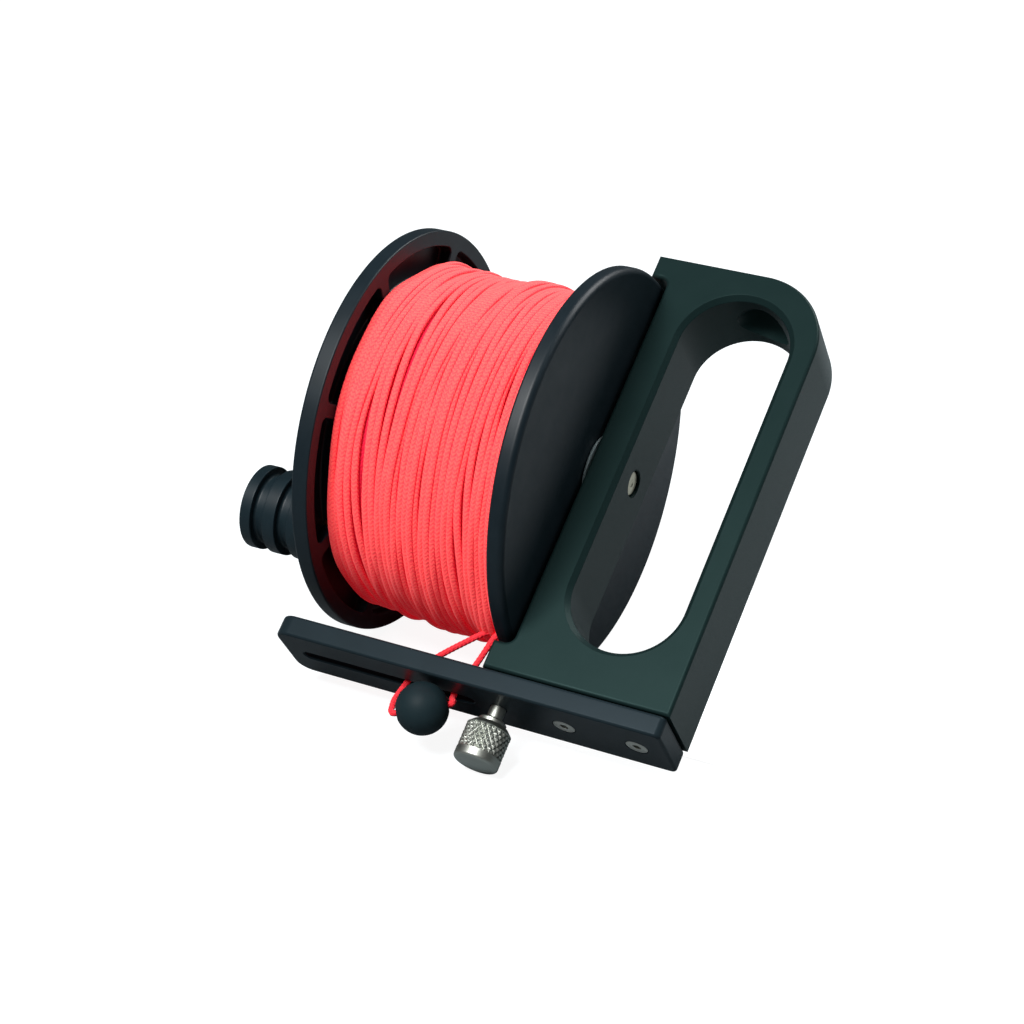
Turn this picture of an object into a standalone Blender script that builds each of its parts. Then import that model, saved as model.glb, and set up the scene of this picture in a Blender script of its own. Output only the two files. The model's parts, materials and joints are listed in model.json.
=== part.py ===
"""Dive reel: a slab handle with a finger opening, a side-mounted line spool and a slotted guide arm.

The reel's own axes are X along the axle towards the grip, Y along the handle away from the guide
arm, and Z out of the front face, with zero on the axle's line at the handle's spool side. One
parent empty then leans the reel back until it rests on both flange rims and the lock screw's head,
and centres it over the world's origin.
"""

import math

import bmesh
import bpy
from mathutils import Vector

# Shared clearances
GAP = 0.0003                    # between pieces that touch on the real reel
OVERRUN = 0.002                 # how far a cutter passes the face it cuts
WELD = 0.000002                 # distance within which points are one

# Spool: two flanges on one drum, bushed on a fixed axle
FLANGE_RADIUS = 0.0617
FLANGE_THICKNESS = 0.0052
FLANGE_EDGE = 0.0012            # rounding of the rims
SPOOL_WIDTH = 0.0576            # between the flanges
DRUM_RADIUS = 0.020
DRUM_RELIEF_RADIUS = 0.0095     # bore between the two bush seats
POCKET_COUNT = 8                # blind pockets milled into the far flange's inner face
POCKET_RIM = 0.0047             # flange left outside the pockets
POCKET_WIDTH = 0.0075           # along the radius
POCKET_FLOOR = 0.0012           # flange left under them
POCKET_SPOKE = 0.0042           # width left between two pockets
POCKET_CORNER = 0.0022
POCKET_PHASE = math.radians(24.5)
FLANGE_SCREW_COUNT = 4
FLANGE_SCREW_CIRCLE = 0.0135
FLANGE_SCREW_RADIUS = 0.0015
FLANGE_SCREW_HEAD = 0.0029
FLANGE_SCREW_LENGTH = 0.014

# Axle with its washers, bushes and cap nut
AXLE_RADIUS = 0.0037
AXLE_RECESS = 0.0018            # end of the axle below the finger opening's wall
AXLE_RUN = 0.0002               # running clearance in the bushes
BUSH_WALL = 0.002
BUSH_LENGTH = 0.012
BUSH_LIP_RADIUS = 0.0085
BUSH_LIP = 0.001
THRUST_RADIUS = 0.010
THRUST_THICKNESS = 0.0007
OUTER_WASHER_RADIUS = 0.008
OUTER_WASHER_THICKNESS = 0.0012
NUT_ACROSS_FLATS = 0.012
NUT_HEX_HEIGHT = 0.0055
NUT_DOME_RADIUS = 0.0053
NUT_DOME_HEIGHT = 0.0045
NUT_THREAD_DEPTH = 0.0065

# Handle frame, a milled slab
FRAME_THICKNESS = 0.025
FRAME_WIDTH = 0.0576            # spool side to the grip's outer face
FRAME_TOP_LIP = 0.0076          # slab above the notch
FRAME_BOTTOM_LIP = 0.0087       # slab below the notch
FRAME_CORNER = 0.0225           # big round at the grip's top
FRAME_EDGE = 0.0011
NOTCH_DEPTH = 0.0058            # takes the near flange
NOTCH_CLEARANCE = 0.0008
NOTCH_FILLET = 0.0026
AXLE_WALL = 0.0102
GRIP_WALL = 0.0076
FINGER_TOP_WALL = 0.0091
FINGER_BOTTOM_WALL = 0.0142
FINGER_CHAMFER = 0.0015
LANYARD_RADIUS = 0.008
LANYARD_FROM_GRIP = 0.0214      # hole's middle to the grip's outer face
LANYARD_LEAN = math.radians(28)

# Guide arm, a slotted bar screwed under the frame
ARM_THICKNESS = 0.0064
ARM_REACH = 0.0659              # past the handle's spool side
ARM_END_STEP = 0.0007           # arm stops this short of the grip's outer face
ARM_TIP_CORNER = 0.005
ARM_END_CORNER = 0.002
ARM_EDGE = 0.0009
SLOT_WIDTH = 0.0042
SLOT_TIP_WALL = 0.0062
SLOT_FROM_FRAME = 0.0034
ARM_SCREW_FIRST = 0.025         # from the slab's spool side
ARM_SCREW_SECOND = 0.0474
ARM_SCREW_RADIUS = 0.0019
ARM_SCREW_HEAD = 0.0033
ARM_SCREW_LENGTH = 0.017
SCREW_LAND = 0.0002             # straight edge of a countersunk head
SOCKET_SHARE = 0.36             # hex key's width as a share of the head's width
SOCKET_DEPTH_SHARE = 0.4        # socket's depth as a share of the head's radius

# Lock screw, a knurled thumbscrew through the arm and the frame's lower lip
LOCK_PLACE = 0.0044
LOCK_RADIUS = 0.0023
LOCK_NECK = 0.0038              # bare shank between the arm and the collar
LOCK_COLLAR_RADIUS = 0.0042
LOCK_COLLAR = 0.0017
LOCK_HEAD_RADIUS = 0.0067
LOCK_HEAD_LENGTH = 0.0122
LOCK_HEAD_CHAMFER = 0.0016
LOCK_END_CHAMFER = 0.0011
LOCK_DOME = 0.0008
LOCK_PAD_RADIUS = 0.0018
LOCK_PAD_LENGTH = 0.0025

# Winding knob on its shoulder screw
KNOB_RADIUS = 0.0125
KNOB_GROOVE_RADIUS = 0.010
KNOB_END_RING = 0.0036
KNOB_GROOVE = 0.0041
KNOB_RING = 0.0041
KNOB_BASE_RING = 0.0045
KNOB_EDGE = 0.0005
KNOB_FROM_POCKETS = 0.0045      # knob's axis inside the ring of pockets
KNOB_SPOKE = 3                  # which spoke it sits over
KNOB_PIN_RADIUS = 0.003
KNOB_RUN = 0.0003
KNOB_HEAD_RADIUS = 0.0048
KNOB_HEAD_LENGTH = 0.003
KNOB_HEAD_SINK = 0.0006
KNOB_THREAD_RADIUS = 0.0023
KNOB_INSERT_WALL = 0.0013
KNOB_WASHER_RADIUS = 0.0058
KNOB_WASHER_THICKNESS = 0.0008

# Wound line and the loop that runs out to the ball
LINE_DIAMETER = 0.0018
WINDING_FREEBOARD = 0.0082      # flange standing proud of the outer layer
WINDING_LOOPS = 22
WINDING_LOOP_POINTS = 24
CORE_SOFT_EDGE = 0.0015
BALL_RADIUS = 0.0077
BALL_BORE_RADIUS = 0.0016
BALL_PLACE = (-0.0148, 0.0056)  # along the slot, and forward of its middle
BALL_BORE_AXIS = (0.841, 0.510, -0.180)
LOOP_START = (
    (-0.0074, -0.0539, 0), (-0.0076, -0.0558, 0), (-0.0109, -0.0587, 0), (-0.0192, -0.0672, 0),
    (-0.0245, -0.0745, 0), (-0.0252, -0.0780, 0.0003), (-0.0248, -0.0842, 0.0036),
    (-0.0242, -0.0865, 0.0049), (-0.0235, -0.0883, 0.0059), (-0.0229, -0.0895, 0.0066),
)
LOOP_STEP_SHARE = 1.2           # loop points are read this many diameters apart
LOOP_BORE = (-0.0083, -0.0068, -0.0040, 0, 0.0040, 0.0068, 0.0083)  # along the ball's bore
LOOP_END = (
    (-0.0082, -0.0804, 0.0029), (-0.0094, -0.0794, 0.0015), (-0.0100, -0.0776, 0.0001),
    (-0.0102, -0.0755, 0), (-0.0075, -0.0670, 0), (-0.0059, -0.0590, 0), (-0.0050, -0.0558, 0),
    (-0.0050, -0.0539, 0),
)

# Sizes that follow from the ones above
NEAR_OUTER = NOTCH_DEPTH - THRUST_THICKNESS - 2 * GAP
NEAR_INNER = NEAR_OUTER - FLANGE_THICKNESS
FAR_INNER = NEAR_INNER - SPOOL_WIDTH
FAR_OUTER = FAR_INNER - FLANGE_THICKNESS
POCKET_OUTER_RADIUS = FLANGE_RADIUS - POCKET_RIM
POCKET_INNER_RADIUS = POCKET_OUTER_RADIUS - POCKET_WIDTH
POCKET_DEPTH = FLANGE_THICKNESS - POCKET_FLOOR
NOTCH_HALF = FLANGE_RADIUS + NOTCH_CLEARANCE
FRAME_TOP = NOTCH_HALF + FRAME_TOP_LIP
FRAME_BOTTOM = NOTCH_HALF + FRAME_BOTTOM_LIP
FINGER_LEFT = NOTCH_DEPTH + AXLE_WALL
FINGER_RIGHT = FRAME_WIDTH - GRIP_WALL
FINGER_RADIUS = (FINGER_RIGHT - FINGER_LEFT) / 2
FINGER_LOW = FINGER_BOTTOM_WALL - FRAME_BOTTOM
FINGER_HIGH = FRAME_TOP - FINGER_TOP_WALL
ARM_SCREW_PLACES = (ARM_SCREW_FIRST, ARM_SCREW_SECOND)
ARM_INNER = -FRAME_BOTTOM - GAP
ARM_OUTER = ARM_INNER - ARM_THICKNESS
BUSH_RADIUS = AXLE_RADIUS + AXLE_RUN + BUSH_WALL
BUSH_SEAT = BUSH_RADIUS + GAP
KNOB_BASE = FAR_OUTER - KNOB_WASHER_THICKNESS - 2 * GAP
KNOB_LENGTH = KNOB_END_RING + 2 * KNOB_GROOVE + KNOB_RING + KNOB_BASE_RING
KNOB_END = KNOB_BASE - KNOB_LENGTH
KNOB_CIRCLE = POCKET_INNER_RADIUS - KNOB_FROM_POCKETS
KNOB_ANGLE = POCKET_PHASE + KNOB_SPOKE * 2 * math.pi / POCKET_COUNT
KNOB_Y = KNOB_CIRCLE * math.cos(KNOB_ANGLE)
KNOB_Z = KNOB_CIRCLE * math.sin(KNOB_ANGLE)
PAD_TIP = -FLANGE_RADIUS - GAP
LOCK_COLLAR_TOP = ARM_OUTER - LOCK_NECK
LOCK_HEAD_TOP = LOCK_COLLAR_TOP - LOCK_COLLAR
LOCK_HEAD_END = LOCK_HEAD_TOP - LOCK_HEAD_LENGTH
LOCK_EDGE_Y = LOCK_HEAD_END + LOCK_END_CHAMFER / 2
LOCK_EDGE_RADIUS = LOCK_HEAD_RADIUS - LOCK_END_CHAMFER / 4
WINDING_RADIUS = FLANGE_RADIUS - WINDING_FREEBOARD
LOOP_RADIUS = WINDING_RADIUS - LINE_DIAMETER / 2
CORE_RADIUS = LOOP_RADIUS * math.cos(math.pi / WINDING_LOOP_POINTS) - LINE_DIAMETER / 2 - GAP
BALL_Y = ARM_OUTER - GAP - BALL_RADIUS
BALL_CENTRE = (BALL_PLACE[0], BALL_Y, BALL_PLACE[1])

# Resting attitude: the floor touches both flange rims and the head's lowest edge.
REACH = math.hypot(LOCK_EDGE_Y, LOCK_EDGE_RADIUS)
REST_TILT = math.asin(FLANGE_RADIUS / REACH) - math.atan2(LOCK_EDGE_RADIUS, -LOCK_EDGE_Y)
TILT_COS = math.cos(REST_TILT)
TILT_SIN = math.sin(REST_TILT)
BACK_CORNER = (FRAME_TOP - FRAME_EDGE, FRAME_EDGE - FRAME_THICKNESS / 2)
REST_BACK = BACK_CORNER[0] * TILT_COS - BACK_CORNER[1] * TILT_SIN + FRAME_EDGE
REST_FRONT = BALL_Y * TILT_COS - BALL_PLACE[1] * TILT_SIN - BALL_RADIUS
REST_PLACE = (-(FRAME_WIDTH + KNOB_END) / 2, -(REST_BACK + REST_FRONT) / 2, FLANGE_RADIUS)

# Turns an object's own Z onto the reel's X (about the axle), onto minus X (out of the far flange),
# or onto minus Y (arm and lock screws).
ALONG_AXLE = (math.pi / 2, 0, math.pi / 2)
OUT_OF_SPOOL = (math.pi / 2, 0, -math.pi / 2)
OUT_OF_ARM = (math.pi / 2, 0, 0)


def clear_scene():
    """Remove what the open file holds."""
    for item in list(bpy.data.objects):
        bpy.data.objects.remove(item, do_unlink=True)
    for group in list(bpy.data.collections):
        bpy.data.collections.remove(group)


def new_collection(name):
    group = bpy.data.collections.new(name)
    bpy.context.scene.collection.children.link(group)
    return group


def material(name, colour, roughness, metallic):
    """Principled material with one colour."""
    result = bpy.data.materials.new(name)
    result.use_nodes = True
    shader = result.node_tree.nodes["Principled BSDF"]
    shader.inputs["Base Color"].default_value = (*colour, 1)
    shader.inputs["Roughness"].default_value = roughness
    shader.inputs["Metallic"].default_value = metallic
    result.diffuse_color = (*colour, 1)
    return result


def empty(name, parent, place=(0, 0, 0)):
    item = bpy.data.objects.new(name, None)
    item.location = place
    item.parent = parent
    PARTS.objects.link(item)
    return item


def place_object(item, parent, place, turn, finish):
    """Put an object under its body's empty; one without a body is a cutter, under the reel's."""
    item.parent = parent or REST
    item.location = place
    item.rotation_euler = turn
    item.data.materials.clear()
    item.data.materials.append(finish)
    (PARTS if parent else CUTTERS).objects.link(item)
    if not parent:
        item.hide_render = True
        item.display_type = "WIRE"
    return item


def smooth(mesh):
    """Shade round stretches smooth and keep the machined edges."""
    mesh.shade_smooth()
    mesh.set_sharp_from_angle(angle=math.radians(35))


def arc(centre, radius, start, end, steps):
    """Points along an arc, both ends included; angles in radians."""
    return [
        (
            centre[0] + radius * math.cos(start + (end - start) * i / steps),
            centre[1] + radius * math.sin(start + (end - start) * i / steps),
        )
        for i in range(steps + 1)
    ]


def rounded_box(left, right, low, high, radii, steps):
    """Outline of a rectangle; radii run from the lower left corner, counter-clockwise."""
    corners = (
        (left, low, 1, 1, math.pi),
        (right, low, -1, 1, 1.5 * math.pi),
        (right, high, -1, -1, 0),
        (left, high, 1, -1, 0.5 * math.pi),
    )
    outline = []
    for (x, y, toward_x, toward_y, start), radius in zip(corners, radii):
        if radius:
            centre = (x + toward_x * radius, y + toward_y * radius)
            outline += arc(centre, radius, start, start + math.pi / 2, steps)
        else:
            outline.append((x, y))
    return outline


def slot_outline(start, end, radius, steps):
    """Stadium along the first axis from start to end, with full-round ends."""
    left = arc((start + radius, 0), radius, math.pi / 2, 1.5 * math.pi, steps)
    right = arc((end - radius, 0), radius, -math.pi / 2, math.pi / 2, steps)
    return left + right


def curve_to_mesh(name, curve):
    """Turn a curve datablock into a welded mesh object that is not yet linked."""
    guide = bpy.data.objects.new(name + "_curve", curve)
    bpy.context.scene.collection.objects.link(guide)
    graph = bpy.context.evaluated_depsgraph_get()
    mesh = bpy.data.meshes.new_from_object(guide.evaluated_get(graph))
    bpy.data.objects.remove(guide, do_unlink=True)
    shape = bmesh.new()
    shape.from_mesh(mesh)
    bmesh.ops.remove_doubles(shape, verts=shape.verts, dist=WELD)
    bmesh.ops.recalc_face_normals(shape, faces=shape.faces)
    shape.to_mesh(mesh)
    shape.free()
    mesh.name = name
    return bpy.data.objects.new(name, mesh)


def plate(name, outline, thickness, parent, place, turn, finish):
    """Flat outline with depth along its own Z."""
    curve = bpy.data.curves.new(name, "CURVE")
    curve.dimensions = "2D"
    curve.fill_mode = "BOTH"
    curve.extrude = thickness / 2
    curve.render_resolution_u = 0
    spline = curve.splines.new("POLY")
    spline.points.add(len(outline) - 1)
    for point, (x, y) in zip(spline.points, outline):
        point.co = (x, y, 0, 1)
    spline.use_cyclic_u = True
    item = curve_to_mesh(name, curve)
    smooth(item.data)
    return place_object(item, parent, place, turn, finish)


def stacked(name, sections, parent, place, turn, finish):
    """Loft through outlines of equal point counts, each given with its height on its own Z."""
    shape = bmesh.new()
    rings = [[shape.verts.new((x, y, height)) for x, y in outline] for outline, height in sections]
    for low, high in zip(rings, rings[1:]):
        for i in range(len(low)):
            shape.faces.new((low[i - 1], low[i], high[i], high[i - 1]))
    shape.faces.new(reversed(rings[0]))
    shape.faces.new(rings[-1])
    bmesh.ops.recalc_face_normals(shape, faces=shape.faces)
    mesh = bpy.data.meshes.new(name)
    shape.to_mesh(mesh)
    shape.free()
    return place_object(bpy.data.objects.new(name, mesh), parent, place, turn, finish)


def turned(name, outer, inner, steps, parent, place, turn, finish):
    """Turned piece: outer and inner are (radius, height) from top to bottom of its own Z.

    With an inner side the profile is closed, so the piece is bored; otherwise it starts and ends
    on the axis.
    """
    profile = list(outer) + list(reversed(inner))
    mesh = bpy.data.meshes.new(name)
    links = [(i, i + 1) for i in range(len(profile) - 1)]
    if inner:
        links.append((len(profile) - 1, 0))
    mesh.from_pydata([(radius, 0, height) for radius, height in profile], links, [])
    item = bpy.data.objects.new(name, mesh)
    screw = item.modifiers.new("turn", "SCREW")
    screw.angle = 2 * math.pi
    screw.steps = steps
    screw.render_steps = steps
    screw.use_merge_vertices = True
    screw.merge_threshold = WELD
    screw.use_smooth_shade = True
    return place_object(item, parent, place, turn, finish)


def hexagon(name, width, height, parent, place, turn, finish):
    """Six-sided prism, width across its flats, standing on its own Z origin."""
    radius = width / math.sqrt(3)
    shape = bmesh.new()
    bmesh.ops.create_cone(
        shape, cap_ends=True, segments=6, radius1=radius, radius2=radius, depth=height
    )
    bmesh.ops.translate(shape, verts=shape.verts, vec=(0, 0, height / 2))
    mesh = bpy.data.meshes.new(name)
    shape.to_mesh(mesh)
    shape.free()
    item = bpy.data.objects.new(name, mesh)
    return place_object(item, parent, place, turn, finish)


def cut(target, cutter, operation="DIFFERENCE", solver="EXACT"):
    """Boolean of one object by another."""
    step = target.modifiers.new(cutter.name, "BOOLEAN")
    step.operation = operation
    step.solver = solver
    step.object = cutter


def round_edges(item, width, segments):
    """Round the sharp edges of a prism."""
    bevel = item.modifiers.new("edges", "BEVEL")
    bevel.width = width
    bevel.segments = segments
    bevel.limit_method = "ANGLE"
    bevel.angle_limit = math.radians(50)
    bevel.use_clamp_overlap = True


def bore_cutter(name, radius, length, place, turn, steps):
    """Cylinder about its own Z, centred on its place."""
    half = length / 2
    side = [(0, half), (radius, half), (radius, -half), (0, -half)]
    return turned(name, side, [], steps, None, place, turn, CUT_FINISH)


def countersink_profile(head, shank, length):
    """Countersunk screw from its flush face down: radius and depth, the cone at 90 degrees."""
    return [(0, 0), (head, 0), (head, -SCREW_LAND), (shank, shank - head - SCREW_LAND),
            (shank, -length), (0, -length)]


def rim_profile(high, low):
    """Rounded rim of a flange between two heights on the axle, from its high face to its low one."""
    edge = FLANGE_EDGE
    rim = FLANGE_RADIUS - edge
    upper = arc((rim, high - edge), edge, math.pi / 2, 0, 2)
    return upper + arc((rim, low + edge), edge, 0, -math.pi / 2, 2)


def spool_body():
    """Near flange and drum, one turned piece with a bush seat at each end."""
    outer = [(BUSH_LIP_RADIUS + GAP, NEAR_OUTER)] + rim_profile(NEAR_OUTER, NEAR_INNER)
    outer += [(DRUM_RADIUS, NEAR_INNER), (DRUM_RADIUS, FAR_INNER + GAP)]
    near_seat = NEAR_OUTER - BUSH_LENGTH - GAP
    far_seat = FAR_OUTER + BUSH_LENGTH + GAP
    inner = [
        (BUSH_LIP_RADIUS + GAP, NEAR_OUTER - BUSH_LIP - GAP),
        (BUSH_SEAT, NEAR_OUTER - BUSH_LIP - GAP),
        (BUSH_SEAT, near_seat),
        (DRUM_RELIEF_RADIUS, near_seat),
        (DRUM_RELIEF_RADIUS, far_seat),
        (BUSH_SEAT, far_seat),
        (BUSH_SEAT, FAR_INNER + GAP),
    ]
    item = turned("spool_body", outer, inner, 48, SPOOL, (0, 0, 0), ALONG_AXLE, PLASTIC)
    for number in range(FLANGE_SCREW_COUNT):
        y, z = flange_screw_place(number)
        depth = FLANGE_SCREW_LENGTH - FLANGE_THICKNESS + GAP
        hole = bore_cutter(
            f"drum_hole_{number + 1}", FLANGE_SCREW_RADIUS + GAP, 2 * depth,
            (FAR_INNER, y, z), ALONG_AXLE, 12,
        )
        cut(item, hole)
    return item


def flange_screw_place(number):
    angle = POCKET_PHASE + (number + 0.5) * 2 * math.pi / FLANGE_SCREW_COUNT
    return FLANGE_SCREW_CIRCLE * math.cos(angle), FLANGE_SCREW_CIRCLE * math.sin(angle)


def pocket_outline(middle):
    """One rounded arc-shaped pocket of the far flange, as y and z about the axle."""
    corner = POCKET_CORNER
    half_step = math.pi / POCKET_COUNT
    high = POCKET_OUTER_RADIUS - corner
    low = POCKET_INNER_RADIUS + corner
    high_half = half_step - math.asin((POCKET_SPOKE / 2 + corner) / high)
    low_half = half_step - math.asin((POCKET_SPOKE / 2 + corner) / low)
    outline = arc((0, 0), POCKET_OUTER_RADIUS, middle - high_half, middle + high_half, 5)[1:-1]
    for half, radius, start in (
        (high_half, high, 0),
        (low_half, low, math.pi / 2),
    ):
        angle = middle + half
        centre = (radius * math.cos(angle), radius * math.sin(angle))
        outline += arc(centre, corner, angle + start, angle + start + math.pi / 2, 2)
    outline += arc((0, 0), POCKET_INNER_RADIUS, middle + low_half, middle - low_half, 5)[1:-1]
    for half, radius, start in (
        (low_half, low, math.pi),
        (high_half, high, 1.5 * math.pi),
    ):
        angle = middle - half
        centre = (radius * math.cos(angle), radius * math.sin(angle))
        outline += arc(centre, corner, angle + start, angle + start + math.pi / 2, 2)
    return outline


def far_flange():
    """Outer flange with its ring of pockets, screw holes and the knob's insert seat."""
    outer = [(BUSH_SEAT, FAR_INNER)] + rim_profile(FAR_INNER, FAR_OUTER)
    outer += [(BUSH_LIP_RADIUS + GAP, FAR_OUTER)]
    lip_floor = FAR_OUTER + BUSH_LIP + GAP
    inner = [(BUSH_SEAT, lip_floor), (BUSH_LIP_RADIUS + GAP, lip_floor)]
    item = turned("far_flange", outer, inner, 48, SPOOL, (0, 0, 0), ALONG_AXLE, PLASTIC)
    middle_x = (FAR_INNER + FAR_OUTER) / 2
    for number in range(POCKET_COUNT):
        middle = POCKET_PHASE + (number + 0.5) * 2 * math.pi / POCKET_COUNT
        pocket = plate(
            f"pocket_{number + 1}", pocket_outline(middle), 2 * POCKET_DEPTH,
            None, (FAR_INNER, 0, 0), ALONG_AXLE, CUT_FINISH,
        )
        cut(item, pocket)
    for number in range(FLANGE_SCREW_COUNT):
        y, z = flange_screw_place(number)
        sink = countersink_profile(FLANGE_SCREW_HEAD + GAP, FLANGE_SCREW_RADIUS + GAP, FLANGE_SCREW_LENGTH)
        sink = [(0, OVERRUN), (FLANGE_SCREW_HEAD + GAP, OVERRUN)] + sink[2:]
        cutter = turned(
            f"flange_sink_{number + 1}", sink, [], 16, None,
            (FAR_OUTER, y, z), OUT_OF_SPOOL, CUT_FINISH,
        )
        cut(item, cutter)
    seat = bore_cutter(
        "insert_seat", KNOB_THREAD_RADIUS + KNOB_INSERT_WALL + 2 * GAP,
        FLANGE_THICKNESS + 2 * OVERRUN, (middle_x, KNOB_Y, KNOB_Z), ALONG_AXLE, 24,
    )
    cut(item, seat)
    return item


def screw_with_socket(name, head, shank, length, parent, place, turn, steps):
    """Countersunk machine screw with a hex socket."""
    item = turned(name, countersink_profile(head, shank, length), [], steps, parent, place, turn, STEEL)
    depth = head * SOCKET_DEPTH_SHARE
    width = 2 * head * SOCKET_SHARE
    socket = hexagon(name + "_socket", width, depth + OVERRUN, None, place, turn, CUT_FINISH)
    inward = Vector((0, 0, -depth))
    inward.rotate(socket.rotation_euler)
    socket.location = Vector(place) + inward
    cut(item, socket)
    return item


def flange_screws():
    for number in range(FLANGE_SCREW_COUNT):
        y, z = flange_screw_place(number)
        screw_with_socket(
            f"flange_screw_{number + 1}", FLANGE_SCREW_HEAD, FLANGE_SCREW_RADIUS,
            FLANGE_SCREW_LENGTH, SPOOL, (FAR_OUTER, y, z), OUT_OF_SPOOL, 12,
        )


def bushes():
    """Flanged plain bearings, one in each end of the drum."""
    bore = AXLE_RADIUS + AXLE_RUN
    near = NEAR_OUTER
    outer = [(BUSH_LIP_RADIUS, near), (BUSH_LIP_RADIUS, near - BUSH_LIP),
             (BUSH_RADIUS, near - BUSH_LIP), (BUSH_RADIUS, near - BUSH_LENGTH)]
    inner = [(bore, near), (bore, near - BUSH_LENGTH)]
    turned("near_bush", outer, inner, 24, SPOOL, (0, 0, 0), ALONG_AXLE, BEARING)
    far = FAR_OUTER
    outer = [(BUSH_RADIUS, far + BUSH_LENGTH), (BUSH_RADIUS, far + BUSH_LIP),
             (BUSH_LIP_RADIUS, far + BUSH_LIP), (BUSH_LIP_RADIUS, far)]
    inner = [(bore, far + BUSH_LENGTH), (bore, far)]
    turned("far_bush", outer, inner, 24, SPOOL, (0, 0, 0), ALONG_AXLE, BEARING)


def ring(name, outside, inside, high, low, steps, parent, place, finish):
    """Plain washer or sleeve between two heights on its axis."""
    turned(
        name, [(outside, high), (outside, low)], [(inside, high), (inside, low)],
        steps, parent, place, ALONG_AXLE, finish,
    )


def axle_set():
    """Fixed axle, its two washers and the cap nut that keeps the spool on."""
    washer_inside = AXLE_RADIUS + GAP
    ring("thrust_washer", THRUST_RADIUS, washer_inside, NEAR_OUTER + GAP + THRUST_THICKNESS,
         NEAR_OUTER + GAP, 32, FRAME, (0, 0, 0), BEARING)
    washer_top = FAR_OUTER - GAP
    washer_low = washer_top - OUTER_WASHER_THICKNESS
    ring("outer_washer", OUTER_WASHER_RADIUS, washer_inside, washer_top, washer_low, 24,
         FRAME, (0, 0, 0), STEEL)
    nut_face = washer_low - GAP
    nut_floor = nut_face - NUT_THREAD_DEPTH
    axle_end = nut_floor + GAP
    chamfer = AXLE_RADIUS - AXLE_RADIUS * math.cos(math.pi / 5)
    head = FINGER_LEFT - AXLE_RECESS
    turned(
        "axle",
        [(0, head), (AXLE_RADIUS - chamfer, head), (AXLE_RADIUS, head - chamfer),
         (AXLE_RADIUS, axle_end + chamfer), (AXLE_RADIUS - chamfer, axle_end), (0, axle_end)],
        [], 32, FRAME, (0, 0, 0), ALONG_AXLE, STEEL,
    )
    corner = NUT_ACROSS_FLATS / math.sqrt(3)
    hex_end = nut_face - NUT_HEX_HEIGHT
    outer = [(AXLE_RADIUS + GAP, nut_face), (NUT_ACROSS_FLATS / 2, nut_face),
             (corner, nut_face - (corner - NUT_ACROSS_FLATS / 2) * math.tan(math.pi / 6)),
             (corner, hex_end), (NUT_DOME_RADIUS, hex_end)]
    outer += [
        (NUT_DOME_RADIUS * math.cos(a * math.pi / 8), hex_end - NUT_DOME_HEIGHT * math.sin(a * math.pi / 8))
        for a in (1, 2, 3)
    ]
    outer.append((0, hex_end - NUT_DOME_HEIGHT))
    bore = [(AXLE_RADIUS + GAP, nut_face), (AXLE_RADIUS + GAP, nut_floor), (0, nut_floor)]
    nut = turned("axle_nut", list(reversed(bore))[:-1] + outer, [], 24, FRAME, (0, 0, 0), ALONG_AXLE, STEEL)
    flats = hexagon("nut_flats", NUT_ACROSS_FLATS, NUT_HEX_HEIGHT + NUT_DOME_HEIGHT + 2 * OVERRUN, None,
                    (hex_end - NUT_DOME_HEIGHT - OVERRUN, 0, 0), ALONG_AXLE, CUT_FINISH)
    cut(nut, flats, "INTERSECT")


def finger_outline(inset):
    """Stadium of the finger opening, drawn in by the inset."""
    middle = (FINGER_LEFT + FINGER_RIGHT) / 2
    radius = FINGER_RADIUS - inset
    outline = arc((middle, FINGER_LOW + FINGER_RADIUS), radius, math.pi, 2 * math.pi, 18)
    return outline + arc((middle, FINGER_HIGH - FINGER_RADIUS), radius, 0, math.pi, 18)


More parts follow.
